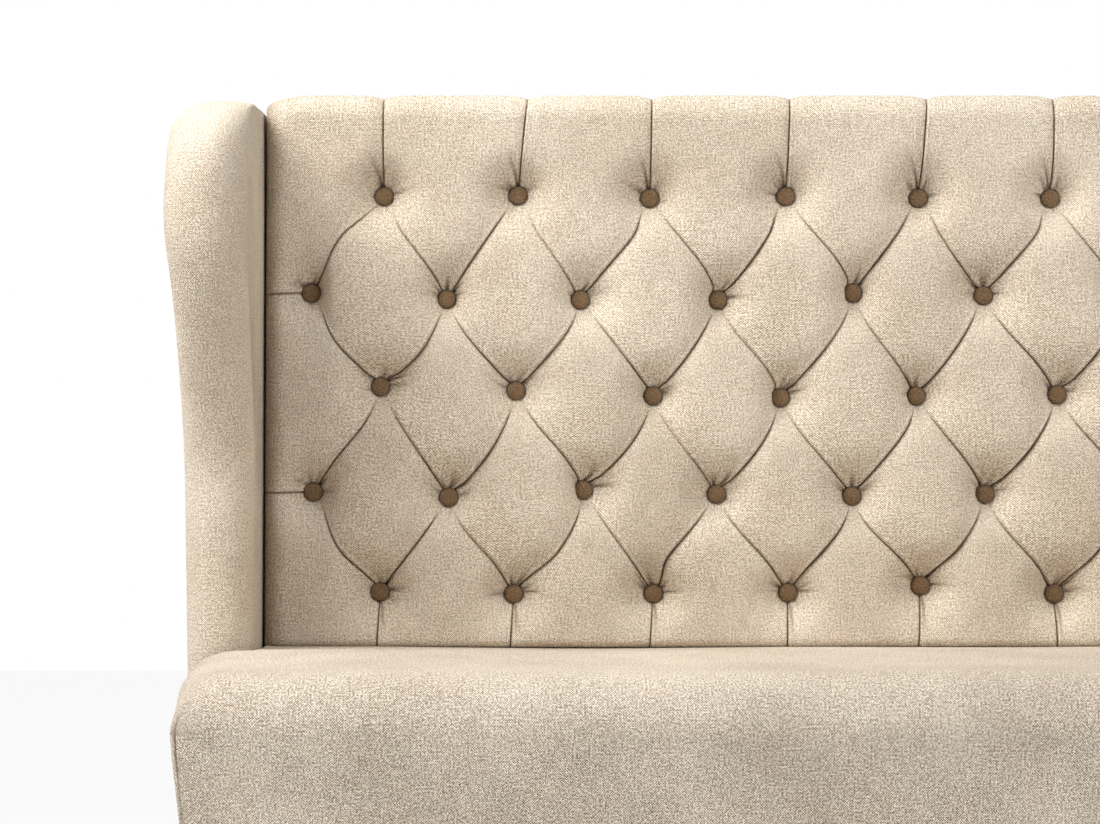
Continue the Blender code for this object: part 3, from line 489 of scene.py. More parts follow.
def gathers_of(line_u, line_v):
    """The short creases that run into a button: angle from upright, curl, length and depth of each."""
    luck = random.Random(line_u * 977 + line_v * 31)
    across, up = line_u + line_v, line_u - line_v + 1
    creases = [
        (
            math.radians(luck.uniform(-85, 85)), luck.uniform(-8, 8),
            luck.uniform(0.022, 0.038), luck.uniform(0.0009, 0.0020),
        )
        for _ in range(luck.choice((4, 5, 6)))
    ]
    creases.append((math.radians(luck.uniform(100, 260)), luck.uniform(-5, 5), luck.uniform(0.016, 0.026), 0.0007))
    if up == 4:
        creases.append((-0.14, luck.uniform(-4.5, -2.5), luck.uniform(0.052, 0.068), 0.0036))
    if up == 0:
        creases.append((1.42, luck.uniform(-3, 2), 0.036, 0.0017))
        creases.append((math.pi - 0.22, 2.5, 0.050, 0.0015))
    if across == 0:
        creases.append((-0.50, -20.0, 0.030, 0.0022))
    if across == 16:
        creases.append((0.50, 20.0, 0.030, 0.0022))
    return creases


gathers = {place: gathers_of(*place) for place in buttons}


def puckers(x, z):
    """Small gathers that run into each button, mostly above it: their height and the painted shade along them."""
    line_u, line_v = (round(line) for line in lattice(x, z)[:2])
    dx, dz = from_button(x, z, line_u, line_v)
    reach = math.hypot(dx, dz)
    if (line_u, line_v) not in buttons or not 0.004 <= reach <= 0.070:
        return 0.0, 0.0
    turn = math.atan2(dx, dz)
    luck = random.Random(line_u * 977 + line_v * 31)
    waves = math.cos(7 * turn + luck.uniform(0, 6.28)) * 0.5 + math.cos(13 * turn + luck.uniform(0, 6.28)) * 0.5
    height = 0.00085 * pucker(line_u, line_v) * bell(reach - 0.014, 0.010) * waves * (0.5 + 0.5 * math.cos(turn))
    shade = 0.0
    for angle, curl, length, depth in gathers[(line_u, line_v)]:
        beside = reach * math.remainder(turn - angle - curl * reach, math.tau)
        if abs(beside) < 0.006:
            run = ease((reach - 0.0085) / 0.003) * (1 - ease((reach - 0.012) / (length - 0.012)))
            width = 0.0012 + 0.0008 * reach / length
            height += depth * run * (0.45 * bell(beside - 0.0030, 0.0018) - bell(beside, width))
            # painted shade along each gather
            shade = max(shade, run * bell(beside, width) * min(0.9, depth / 0.0019))
    return height, shade


def rolled(distance, radius):
    """Share of the full height at a distance in from a rounded edge."""
    return 1.0 if distance >= radius else math.sqrt(max(0.0, 1 - (1 - distance / radius) ** 2))


back_cloth = flat_back()
fold_shade_layer, flat_x, flat_z = layers_of(back_cloth, "fold", "flat_x", "flat_z")
for vert in back_cloth.verts:
    x, z = vert.co.x, vert.co.z
    vert[flat_x], vert[flat_z] = x, z
    height, vert[fold_shade_layer] = tuft(x, z)
    gathered, shade = puckers(x, z)
    height += gathered
    # painted shade along the pad's side edges, where the wings shade it, with the painted shade of folds and
    # gathers
    vert[fold_shade_layer] = max(vert[fold_shade_layer], shade, 0.42 * bell(back_half - abs(x), 0.0125))
    side = rolled(back_half - abs(x), edge_roll)
    over = rolled(back_top - z, edge_roll)
    foot = between(0.5, 1.0, rolled(z - back_foot, 0.009))
    shift = button_pull(x, z)
    past_top = max(0.0, (z - top_row) / (back_top - top_row))
    corner = max(0.0, (abs(x) - (back_half - corner_fall)) / corner_fall)
    u = lattice(x, z)[0]
    pleat = (1 - 2 * abs(u - round(u))) ** 7
    top_drop = 0.0150 * (1 - math.sqrt(max(0.0, 1 - corner**2))) * past_top**3 + 0.0042 * pleat * past_top**2
    vert.co = leaned(x + shift.x, -height * side * over * foot, z + shift.z - top_drop)

# the cloth's edges run back to the frame in steps: the depth of each, and how far in it is drawn
sides = ((0.004, 0), (0.014, 0), (0.034, 0), (0.068, 0), (0.098, 0.0008), (0.105, 0.003), (back_rear, 0.010))
rim = [edge for edge in back_cloth.edges if edge.is_boundary]
done = 0.0
for depth, inwards in sides:
    verts, rim = drawn_out(back_cloth, rim)
    for vert in verts:
        x, z = vert[flat_x], vert[flat_z]
        vert.co.y = leaned(0, depth, vert.co.z).y
        if z < back_foot + 0.001:
            vert[flat_z] -= depth - done
        elif abs(x) > back_half - close:
            vert[flat_x] += math.copysign(depth - done, x)
            vert.co.x -= math.copysign(inwards, x)
        else:
            vert[flat_z] += depth - done
            vert.co.z -= inwards
    done = depth
bmesh.ops.contextual_create(back_cloth, geom=rim)
lay(back_cloth, lambda vert: (vert[flat_x], vert[flat_z]))


def added(name, data):
    """A new object in the scene."""
    thing = bpy.data.objects.new(name, data)
    bpy.context.scene.collection.objects.link(thing)
    return thing


def finished(name, bm, material, *nodes):
    """A finished piece with its material, riding on the sofa and standing for the solids named."""
    bmesh.ops.recalc_face_normals(bm, faces=bm.faces)
    for face in bm.faces:
        face.smooth = True
    mesh = bpy.data.meshes.new(name)
    bm.to_mesh(mesh)
    bm.free()
    mesh.materials.append(material)
    piece = added(name, mesh)
    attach(piece, "root")
    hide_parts(*nodes)
    return piece


tufted_back = finished("tufted_back", back_cloth, linen, "tufted_back_cover")

# --- Covered buttons ---------------------------------------------------------------------------
# Domed metal button shells covered in brown cloth, gathered under the rim and laced through the
# back with twine. Each row of the part is one piece. Their cloth is a finer weave than the linen.
button_cloth = cloth_material(
    "button_cloth", (0.345, 0.222, 0.120), (0.110, 0.064, 0.031), (0.035, 0.018, 0.009), relief=0.9, sheen=0.12
)
button_radius = 0.0099
button_dome = 0.0062
shell_steps = 26


def covered_button(bm, place, tilt, turn):
    """One button: its dome, rolled rim and the gathered neck behind, turned about its own middle."""
    before = set(bm.verts)
    dome = [math.radians(angle) for angle in (14, 28, 42, 56, 68, 79)]
    profile = [(0.0, 1.0)] + [(math.sin(angle) * 0.93, 0.30 + 0.70 * math.cos(angle) ** 0.9) for angle in dome]
    profile += [(0.985, 0.34), (1.0, 0.20), (0.985, 0.07), (0.92, -0.03), (0.60, -0.14), (0.35, -0.5)]
    line = [bm.verts.new((button_radius * share, -button_dome * rise, 0)) for share, rise in profile]
    edges = [bm.edges.new(pair) for pair in zip(line, line[1:])]
    bmesh.ops.spin(
        bm, geom=line + edges, axis=(0, 1, 0), cent=(0, 0, 0), angle=math.tau, steps=shell_steps, use_merge=True
    )
    made = [vert for vert in bm.verts if vert not in before]
    for vert in made:
        angle = math.atan2(vert.co.x, vert.co.z)
        out = math.hypot(vert.co.x, vert.co.z) / button_radius
        gather = 1 + 0.012 * math.cos(9 * angle + turn) * max(0.0, out - 0.75) / 0.25
        vert.co.x *= gather
        vert.co.z *= gather
    bmesh.ops.rotate(bm, verts=made, cent=(0, 0, 0), matrix=tilt)
    bmesh.ops.translate(bm, verts=made, vec=place)
    return made


for row in range(5):
    bm = bmesh.new()
    uv_layer = bm.loops.layers.uv.new("cloth")
    (fold_shade_layer,) = layers_of(bm, "fold")
    for across in range(1 - row % 2, 17, 2):
        x, z = across * half_pitch - outer_button, top_row - row * row_pitch
        luck = random.Random(row * 37 + across)
        shift = button_pull(x, z)
        place = leaned(x + shift.x, -0.0012, z + shift.z)
        lean_turn = Matrix.Rotation(math.radians(luck.uniform(-7, 7) - 3), 3, "X")
        side_turn = Matrix.Rotation(math.radians(luck.uniform(-7, 7)), 3, "Z")
        turn = luck.uniform(0, math.tau)
        made = covered_button(bm, place, side_turn @ lean_turn, turn)
        for vert in made:
            local = vert.co - place
            out = math.hypot(local.x, local.z) / button_radius
            # painted shade on the rim and the neck behind it, where the button sinks into the cloth
            vert[fold_shade_layer] = 0.75 * ease((out - 0.86) / 0.14)
            spun = Matrix.Rotation(-turn, 2) @ Vector((local.x, local.z))
            for loop in vert.link_loops:
                loop[uv_layer].uv = spun * 1.25 + Vector((across, row))
    bmesh.ops.remove_doubles(bm, verts=bm.verts, dist=0.00001)
    heads = finished(f"buttons_row_{row + 1}", bm, button_cloth, f"button_row_{row + 1}")

# --- Wings -------------------------------------------------------------------------------------
# A padded wing stands at each end: a plywood panel wrapped in foam and covered with one piece of
# linen that runs over its rounded front edge and its top, and is tacked under the outer back.
wing_inner = 0.6076
wing_foot_reach, wing_head_reach = 0.150, 0.240
wing_top = 1.0249
head_rise, sweep_rise = 0.127, 0.260
head_fullness, head_depth = 0.62, 0.150
head_change_start, head_change_rise = 0.62, 0.22
head_height = wing_top - head_rise
sweep_start = head_height - sweep_rise
seat_top = 0.480
# how thick the wing is at each height
wing_girths = (
    (0.235, 0.0610), (0.487, 0.0650), (0.568, 0.0666), (0.647, 0.0682), (0.727, 0.0704), (0.786, 0.0720),
    (0.826, 0.0738), (0.864, 0.0780), (0.899, 0.0822), (0.9315, 0.0804), (0.965, 0.0786), (1.04, 0.0772),
)


def wing_girth(z):
    """The wing's thickness at a height, evened out over a hand's width of cloth."""
    total = 0.0
    for step in range(-4, 5):
        at = min(max(z + 0.009 * step, wing_girths[0][0]), wing_girths[-1][0])
        for (low, girth), (high, after) in zip(wing_girths, wing_girths[1:]):
            if low <= at <= high:
                total += between(girth, after, (at - low) / (high - low))
                break
    return total / 9


def wing_edge():
    """Stations up the wing's front and back over its top: depth, height, slope outwards, share of the top."""
    places = []
    front_steps, sweep_steps, head_steps, top_steps = 24, 28, 24, 14
    steep = 2 / head_fullness - 1
    for k in range(front_steps + 1):
        z = between(leg_height, sweep_start, k / front_steps)
        places.append((-wing_foot_reach - lean_back * (min(z, seat_top) - seat_top), z, 0.0, 0.0))
    for k in range(1, sweep_steps):
        share = k / sweep_steps
        reach = between(wing_foot_reach, wing_head_reach, ease(share))
        run = (wing_head_reach - wing_foot_reach) * 6 * share * (1 - share)
        places.append((-reach, between(sweep_start, head_height, share), -math.atan2(run, sweep_rise), 0.0))
    for k in range(head_steps + 1):
        angle = math.pi / 2 * k / head_steps
        forward, up = math.cos(angle) ** head_fullness, math.sin(angle) ** head_fullness
        slope = math.atan2(up**steep / head_rise, forward**steep / head_depth)
        over_head = -wing_head_reach + head_depth * (1 - forward), head_height + head_rise * up
        places.append((*over_head, slope, k / head_steps))
    last = places[-1][0]
    for k in range(1, top_steps + 1):
        share = k / top_steps
        places.append((between(last, back_rear, share), wing_top + 0.0012 * ease(share * 3), math.pi / 2, 1.0))
    return places


walls, nose_steps = 22, 40


def wing_ring(place, share):
    """One ring of the cover, from its inner rear edge round the padded nose to its outer rear edge."""
    depth, z, slope, over = place
    on_top = ease(over * 1.5)
    at_head = ease((z - head_change_start) / head_change_rise)
    inner, outer = wing_inner, wing_inner + wing_girth(z)
    crest = between(inner, outer, between(0.53, 0.36, on_top))
    nose_in, nose_out = between(0.052, 0.0028, ease(over) ** 1.6), between(0.048, 0.038, on_top)
    nose = []
    for k in range(nose_steps + 1):
        across = -math.cos(math.pi * k / nose_steps)
        full = between(2.7, 2.05, at_head) if across < 0 else between(2.2, 2.5, at_head)
        back = (1 - (1 - abs(across) ** full) ** (1 / full)) * (nose_in if across < 0 else nose_out)
        x = crest + across * ((crest - inner) if across < 0 else (outer - crest))
        nose.append(Vector((x, depth + back * math.cos(slope), z - back * math.sin(slope))))
    spine = between(leg_height, wing_top - 0.075, share)
    start = Vector((inner, back_rear, spine))
    finish = Vector((wing_inner + wing_girth(spine), back_rear, spine))
    ring = [start.lerp(nose[0], drawn_in(k / walls, 0.8)) for k in range(walls)] + nose
    ring += [nose[-1].lerp(finish, drawn_in(k / walls, 0.8)) for k in range(1, walls + 1)]
    lengths = [0.0]
    for before, after in zip(ring, ring[1:]):
        lengths.append(lengths[-1] + (after - before).length)
    middle = lengths[walls + nose_steps // 2]
    for k, spot in enumerate(ring):
        spot.x += 0.0016 * math.sin(math.pi * max(0, k - walls - nose_steps) / walls)
        spot.x -= 0.0012 * math.sin(math.pi * min(k, walls) / walls)
    return ring, [length - middle for length in lengths]


def closed_in(bm, rim):
    """Closes a cover's foot with cloth just under the frame, its edge turned sharply."""
    bmesh.ops.contextual_create(bm, geom=rim)
    for edge in rim:
        edge.smooth = False
    for vert in {vert for edge in rim for vert in edge.verts}:
        vert.co.z -= 0.0005


def wing_cover(name, side):
    """A closed wing cover, its rings standing along the wing's front edge and over its top."""
    bm = bmesh.new()
    flat_x, flat_z = layers_of(bm, "flat_x", "flat_z", "fold")[:2]
    places = wing_edge()
    rings, run = [], [0.0]
    for before, after in zip(places, places[1:]):
        run.append(run[-1] + math.hypot(after[0] - before[0], after[1] - before[1]))
    for index, place in enumerate(places):
        rings.append(wing_ring(place, index / (len(places) - 1)))
    columns = 2 * walls + nose_steps
    bmesh.ops.create_grid(bm, x_segments=columns, y_segments=len(places) - 1, size=0.5)
    for vert in bm.verts:
        column, line = round((vert.co.x + 0.5) * columns), round((vert.co.y + 0.5) * (len(places) - 1))
        ring, lengths = rings[line]
        spot = ring[column]
        vert[flat_x], vert[flat_z] = side * (lengths[column] + 0.8), run[line]
        vert.co = leaned(side * spot.x, spot.y, spot.z)
    low_verts = {vert for vert in bm.verts if vert.is_boundary and vert.co.z < leg_height + close}
    bmesh.ops.contextual_create(bm, geom=sorted(low_verts, key=lambda vert: -vert.co.y)[:2])
    closed_in(bm, [edge for edge in bm.edges if len(edge.link_faces) < 2 and set(edge.verts) <= low_verts])
    bmesh.ops.contextual_create(bm, geom=[edge for edge in bm.edges if len(edge.link_faces) == 1])
    lay(bm, lambda vert: (vert[flat_x], vert[flat_z]))
    cover = finished(name, bm, linen, f"{name}_cover", f"{name}_foam")


wing_cover("left_wing", -1)
wing_cover("right_wing", 1)

# --- Seat --------------------------------------------------------------------------------------
# A tight seat: linen drawn over a foam block and zigzag springs, and tacked under the rails. Its
# top and front are one piece, with a pleat sewn down each front corner. It is wider before the wings.
seat_front, seat_shoulder, seat_rear = -0.29811, 0.0029, 0.19645
front_half, shoulder_half, tucked_half = 0.652, 0.664, 0.6031
seat_roll, tuck_roll, corner_roll = 0.050, 0.0015, 0.016
round_over, front_lines, rear_lines, tuck_lines, half_columns, levels = 22, 42, 28, 4, 96, 34
fullest_height, draw_height, draw_in, front_draw_share = 0.437, 0.115, 0.0090, 0.66
edge_step, pleat_top, pleat_low = 0.003, 0.462, 0.375


def seat_half(y):
    """Half the seat's width at a depth."""
    return between(front_half, shoulder_half, min(1.0, (y - seat_front) / (seat_shoulder - seat_front)))


def past_edges(x, y, width):
    """How far a place on the seat's plan lies into a band along its end and along its front, from 0 to 1."""
    beside = max(0.0, 1 - (seat_half(y) - abs(x)) / width) if y < seat_shoulder + close else 0.0
    return beside, max(0.0, 1 - (y - seat_front) / width)


def rounded_corner(x, y, corner):
    """A place on the seat's plan, with its front corners rounded."""
    over_side, over_front = past_edges(x, y, corner)
    if not over_side or not over_front:
        return x, y
    out = over_side * math.sqrt(1 - over_front**2 / 2)
    forward = over_front * math.sqrt(1 - over_side**2 / 2)
    return math.copysign(seat_half(y) - corner + corner * out, x), seat_front + corner * (1 - forward)


def drawn_under(z):
    """How far the front and the ends are pulled in below their fullest height."""
    return draw_in * ease((fullest_height - z) / draw_height)


bm = bmesh.new()
flat_x, flat_y, drop_layer, fold_shade_layer = layers_of(bm, "flat_x", "flat_y", "drop", "fold")
curve = [seat_roll * (1 - math.cos(math.pi / 2 * k / round_over)) for k in range(round_over + 1)]
deep = [seat_front + step for step in curve]
deep += [between(deep[-1], seat_shoulder, k / front_lines) for k in range(1, front_lines + 1)]
deep += [between(seat_shoulder, seat_rear - tuck_roll, k / rear_lines) for k in range(1, rear_lines + 1)]
tuck_steps = [tuck_roll * math.cos(math.pi / 2 * k / tuck_lines) for k in range(tuck_lines + 1)]
deep += [seat_rear - step for step in tuck_steps[1:]]
wide = [tucked_half - tuck_roll + step for step in tuck_steps]
wide += [wide[-1] * (1 - k / half_columns) for k in range(1, half_columns + 1)]
wide = [-x for x in wide] + wide[-2::-1]
bmesh.ops.create_grid(bm, x_segments=len(wide) - 1, y_segments=len(deep) - 1, size=0.5)
for vert in bm.verts:
    column, line = round((vert.co.x + 0.5) * (len(wide) - 1)), round((vert.co.y + 0.5) * (len(deep) - 1))
    vert.co = (wide[column], deep[line], seat_top)
strip = [edge_step] * 5
strip += [after - before for before, after in zip(curve, curve[1:])][::-1]
strip = [step * (shoulder_half - tucked_half) / sum(strip) for step in strip]
for side in (1, -1):
    extend(
        bm,
        lambda co: co.x * side > tucked_half - close and co.y < seat_shoulder + close,
        Vector((side, 0, 0)),
        strip,
    )

for vert in bm.verts:
    x, y = vert.co.x, vert.co.y
    if abs(x) > tucked_half:
        share = (abs(x) - tucked_half) / (shoulder_half - tucked_half)
        x = math.copysign(between(tucked_half, seat_half(y), share), x)
    vert[flat_x], vert[flat_y] = x, y
    vert.co.x, vert.co.y = rounded_corner(x, y, corner_roll)
    over_side, over_front = past_edges(x, y, seat_roll)
    left_up = math.sqrt(max(0.0, (1 - over_side**2) * (1 - over_front**2)))
    edge_drop = between(0.027, 0.054, ease((seat_front + 0.16 - y) / 0.13))
    notch = math.hypot(max(0.0, tucked_half - abs(x)), max(0.0, seat_shoulder - y))
    tuck = min(notch, seat_rear - y)
    vert.co.z -= edge_drop * (1 - left_up) + tuck_roll * (1 - rolled(tuck, tuck_roll))
    wave = 0.0007 * math.sin(7.1 * x + 0.6) + 0.0006 * math.sin(15 * x + 5 * y + 2.0)
    wave += 0.0006 * math.sin(4.3 * x - 9 * y)
    vert.co.z += wave + 0.0024 * bell(y + 0.03, 0.10) - 0.0045 * ease((y + 0.02) / 0.15)

rim = [edge for edge in bm.edges if edge.is_boundary]
starts = {}
for level in range(1, levels + 1):
    verts, rim = drawn_out(bm, rim)
    for vert in verts:
        x, y = vert[flat_x], vert[flat_y]
        top = starts.setdefault((round(x, 6), round(y, 6)), vert.co.z)
        z = between(top, leg_height, level / levels)
        out_x, out_y = rounded_corner(x, y, corner_roll)
        if y < seat_shoulder - close:
            in_front = ease((seat_shoulder - y) / 0.02)
            beside = ease((abs(out_x) - tucked_half) / 0.03)
            forward = ease((seat_front + 0.03 - out_y) / 0.03)
            out_x -= math.copysign(drawn_under(z) * beside * in_front, out_x)
            out_y += front_draw_share * drawn_under(z) * forward
            below = ease((top - z) / 0.02)
            out_y += forward * below * (0.0008 * math.sin(5.3 * x + 1.2) + 0.0006 * math.sin(13 * x + 11 * z))
        vert.co = (out_x, out_y, z)
        vert[drop_layer] = top - z
closed_in(bm, rim)

# the pleat down each front corner: a sewn line with its cloth turned towards the front, and painted shade along it
for vert in bm.verts:
    centre = Vector((math.copysign(front_half - corner_roll, vert.co.x), seat_front + corner_roll))
    arm = vert.co.xy - centre
    if abs(vert.co.x) > abs(centre.x) - 0.004 and vert.co.y < centre.y + 0.004:
        beside = corner_roll * (math.atan2(-arm.y, abs(arm.x)) - math.pi / 4)
        held = ease((pleat_top - vert.co.z) / 0.012) * between(0.45, 1.0, ease((vert.co.z - pleat_low) / 0.03))
        painted_dark = bell(beside, 0.0014) * held
        # painted shade along the pleat
        vert[fold_shade_layer] = 0.75 * painted_dark
        push = (0.0009 * bell(beside - 0.0030, 0.0020) * held - 0.0019 * painted_dark) / max(arm.length, 0.001)
        vert.co.x += arm.x * push
        vert.co.y += arm.y * push

bm.normal_update()
uv_layer = bm.loops.layers.uv.new("cloth")
for face in bm.faces:
    wall = any(vert[drop_layer] > 0 for vert in face.verts)
    faces_front = abs(face.normal.y) > abs(face.normal.x)
    for loop in face.loops:
        x, y, drop = loop.vert[flat_x], loop.vert[flat_y], loop.vert[drop_layer]
        rounded = [0.0, 0.0]
        for axis, edge in ((0, seat_half(y) - abs(x)), (1, y - seat_front)):
            if edge < seat_roll and (axis or y < seat_shoulder + close):
                rounded[axis] = seat_roll * (math.asin(min(1.0, 1 - edge / seat_roll)) - 1) + edge
        flat = [math.copysign(abs(x) + rounded[0], x), y - rounded[1]]
        if wall:
            side_start, front_start = seat_half(y) - corner_roll, seat_front + corner_roll
            arm_x, arm_y = abs(loop.vert.co.x) - side_start, front_start - loop.vert.co.y
            arc = corner_roll * (math.atan2(arm_x, arm_y) if faces_front else math.atan2(arm_y, arm_x))
            on_corner = arm_x > 0 and arm_y > 0
            if faces_front:
                flat[0] = math.copysign(side_start + arc if on_corner else abs(loop.vert.co.x), x)
                flat[1] -= drop
            else:
                flat[1] = front_start - arc if on_corner else loop.vert.co.y
                flat[0] = math.copysign(abs(flat[0]) + drop, x)
        loop[uv_layer].uv = flat
# the same linen, pulled tighter over the seat, so that its weave stands out more
seat_linen = cloth_material("seat_linen", bleached, (0.235, 0.178, 0.116), fold_shade_brown, relief=1.0)
seat = finished("seat", bm, seat_linen, "seat_cover", "seat_foam")

# --- Outer back --------------------------------------------------------------------------------
# One plain panel of linen stretched over the rear of the frame. Its sides are turned under and
# tacked blind to the wings and the top rail, and its foot is drawn down to the bottom rail.
low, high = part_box("outer_back_cover")
panel_half, panel_foot, panel_top = high.x - 0.0006, low.z + 0.0010, high.z - 0.0010
hem_width, tack_pitch = 0.0145, 0.028
bm = bmesh.new()
(fold_shade_layer,) = layers_of(bm, "fold")
bmesh.ops.create_grid(bm, x_segments=240, y_segments=140, size=0.5)
for vert in bm.verts:
    share_x, share_z = vert.co.x * 2, vert.co.y + 0.5
    x = panel_half * (share_x + 0.10 * math.sin(math.pi * share_x) / math.pi)
    z = between(panel_foot, panel_top, share_z)
    edge = min(panel_half - abs(x), panel_top - z)
    hollow = 0.0016 * math.cos(math.pi * x / (2 * panel_half)) * math.sin(math.pi * share_z)
    pull = 0.0007 * math.sin(9 * x + 4 * z) * bell(share_z - 0.5, 0.45) + 0.0004 * math.sin(23 * x - 7 * z)
    hem = 0.0009 * bell(edge - 0.0070, 0.0042) - 0.0010 * bell(edge - hem_width, 0.0022)
    along_edge = z if panel_half - abs(x) < panel_top - z else x
    tacks = 0.00030 * math.cos(math.tau * along_edge / tack_pitch) * bell(edge - 0.022, 0.012)
    # painted shade along the line where the hem is turned under
    vert[fold_shade_layer] = 0.30 * bell(edge - hem_width, 0.0016)
    turned_in = 0.0042 * (1 - rolled(min(edge, z - panel_foot), 0.0050))
    plane = low.y + 0.0040 + lean_back * (z - leg_height)
    vert.co = (x, plane - hollow + pull * 0.5 + hem + tacks - turned_in, z)
lay(bm, lambda vert: (vert.co.x, vert.co.z))
bmesh.ops.solidify(bm, geom=bm.faces[:], thickness=0.0011)
outer_back = finished("outer_back", bm, linen, "outer_back_cover")

# --- Dust cover --------------------------------------------------------------------------------
# Thin black bonded cloth under the seat frame, its edges folded under and stapled to the rails.
# It sags a little between the rails and the middle brace.


def bonded_cloth():
    """Bonded fibres: a height with small pressed dimples, and a mottled shade."""
    group, (place, pale, deep) = new_group("Bonded cloth", ("Place", "Pale", "Deep"), ("Color", "Height"))
    dimples = put(group, "TexVoronoi", {"feature": "F1"}, Vector=place, Scale=620.0, Randomness=0.25)
    fibres = noise(group, place, 900.0, 4.0, 0.7)
    mottle = span(group, noise(group, place, 26.0, 3.0), 0.3, 0.7, 0.0, 0.5)
    shade = sums(group, "MULTIPLY_ADD", fibres, 0.5, mottle, clamp=True)
    height = sums(group, "MULTIPLY_ADD", fibres, 0.4, span(group, dimples.outputs["Distance"], 0.0, 0.5))
    return give_out(group, mixed(group, shade, deep, pale), height)


bonded_group = bonded_cloth()


def grown_material(name, group, bump_depth, relief, along="x", plain=(), **values):
    """A material from one node group on object coordinates, turned so that the group's x runs along an axis."""
    material, tree, shader = new_material(name, dict(plain))
    turns = {"x": (0, 0, 0), "y": (0, 0, math.radians(-90)), "z": (0, math.radians(90), 0)}
    place = put(tree, "Mapping", Vector=put(tree, "TexCoord").outputs["Object"], Rotation=turns[along])
    values = {name: (*value, 1.0) if isinstance(value, tuple) else value for name, value in values.items()}
    node = put(tree, "Group", {"node_tree": group}, Place=place.outputs[0], **values)
    feed(tree, node, shader)
    bump = put(tree, "Bump", Strength=relief, Distance=bump_depth, Height=node.outputs["Height"])
    tree.links.new(bump.outputs[0], shader.inputs["Normal"])
    return material


lining = grown_material(
    "lining", bonded_group, 0.0003, 0.5, Pale=(0.075, 0.073, 0.075), Deep=(0.018, 0.017, 0.018),
    plain={"Roughness": 0.85, "Sheen Weight": 0.2, "Sheen Roughness": 0.6},
)
low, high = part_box("dust_cover")
sag_depth, ripple_pitch, turned_edge = 0.0042, 0.045, 0.014
bm = bmesh.new()
bmesh.ops.create_grid(bm, x_segments=180, y_segments=80, size=0.5)
for vert in bm.verts:
    share_x, share_y = vert.co.x + 0.5, vert.co.y + 0.5
    x, y = between(low.x, high.x, share_x), between(low.y, high.y, share_y)
    in_x, in_y = min(x - low.x, high.x - x), min(y - low.y, high.y - y)
    edge = min(in_x, in_y)
    sag = sag_depth * abs(math.sin(math.tau * share_x)) * math.sin(math.pi * share_y) * ease((edge - 0.030) / 0.05)
    ripple = 0.0006 * math.cos(math.tau * (x if in_y < in_x else y) / ripple_pitch) * bell(edge - 0.040, 0.016)
    fold_under = 0.0007 * (1 - ease((edge - turned_edge) / 0.003))
    vert.co = (x, y, low.z - sag - fold_under + min(ripple, 0.0002))
bmesh.ops.solidify(bm, geom=bm.faces[:], thickness=-0.0003)
dust_cloth = finished("dust_cloth", bm, lining, "dust_cover")

# --- Frame timber ------------------------------------------------------------------------------
# Sawn rails, posts, ears and corner blocks of kiln-dried beech, glued and screwed. The wings and the
# tufting panel are thin birch ply. All of it is covered, so it keeps the saw's finish.


def wood_grain():
    """Long grain with darker late wood and fine pores: colour, roughness and height."""
    group, (place, rings, pores, rough, pale, deep) = new_group(
        "Wood grain", ("Place", "Rings", "Pores", "Rough", "Pale", "Deep"), ("Color", "Roughness", "Height")
    )
    long = stretched(group, place, (0.07, 1.0, 1.0))
    bands = {"wave_type": "BANDS", "bands_direction": "Y"}
    figure = put(group, "TexWave", bands, Vector=long, Scale=rings, Distortion=7.0, Detail=3.0).outputs["Fac"]
    fine = noise(group, stretched(group, place, (0.035, 1.0, 1.0)), 750.0, 3.0)
    pore = span(group, fine, 0.30, 0.46, 1.0, 0.0)
    broad = span(group, noise(group, long, 14.0, 4.0, 0.6), 0.3, 0.7, -0.25, 0.25)
    shade = sums(group, "ADD", span(group, figure, 0.25, 0.95, 0.0, 0.75), broad, clamp=True)
    colour = mixed(group, sums(group, "MULTIPLY_ADD", pore, pores, shade, clamp=True), pale, deep)
    height = sums(group, "SUBTRACT", sums(group, "MULTIPLY", shade, 0.3), pore)
    return give_out(group, colour, sums(group, "MULTIPLY_ADD", shade, 0.14, rough), height)


def dress(material, *words):
    """Gives a material to the solids whose names have one of these words."""
    for name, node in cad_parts.items():
        if any(word in name for word in words):
            node.data.materials[0] = material


grain_group = wood_grain()
beech = {"Pale": (0.66, 0.47, 0.29), "Deep": (0.45, 0.29, 0.16), "Rings": 34.0, "Rough": 0.62, "Pores": 0.35}
birch = {"Pale": (0.62, 0.45, 0.28), "Deep": (0.40, 0.25, 0.14), "Rings": 16.0, "Rough": 0.55, "Pores": 0.5}
for along, words in (
    ("x", ("_rail", "_ear", "_corner_block")),
    ("y", ("_left_rail", "_right_rail", "_brace")),
    ("z", ("_post", "_stile")),
):
    dress(grown_material(f"timber_{along}", grain_group, 0.0003, 0.5, along, **beech), *words)
dress(grown_material("board", grain_group, 0.0002, 0.4, "z", **birch), "_wing_panel", "tufting_panel")

# --- Padding and springs -----------------------------------------------------------------------
# Open-celled foam on the back, a needled felt pad over the springs, and zigzag springs of drawn
# steel wire clipped to the rails. The bolts are zinc plated.


def open_cells():
    """Open-celled foam: pin holes, a slightly mottled colour and a cut surface."""
    group, (place, pale, deep) = new_group("Open cells", ("Place", "Pale", "Deep"), ("Color", "Height"))
    cells = put(group, "TexVoronoi", {"feature": "F1"}, Vector=place, Scale=480.0)
    hole = span(group, cells.outputs["Distance"], 0.05, 0.40, 1.0, 0.0)
    mottle = span(group, noise(group, place, 18.0, 4.0), 0.3, 0.7, 0.0, 0.4)
    shade = sums(group, "MULTIPLY_ADD", hole, 0.6, mottle, clamp=True)
    return give_out(group, mixed(group, shade, pale, deep), sums(group, "SUBTRACT", 1.0, hole))


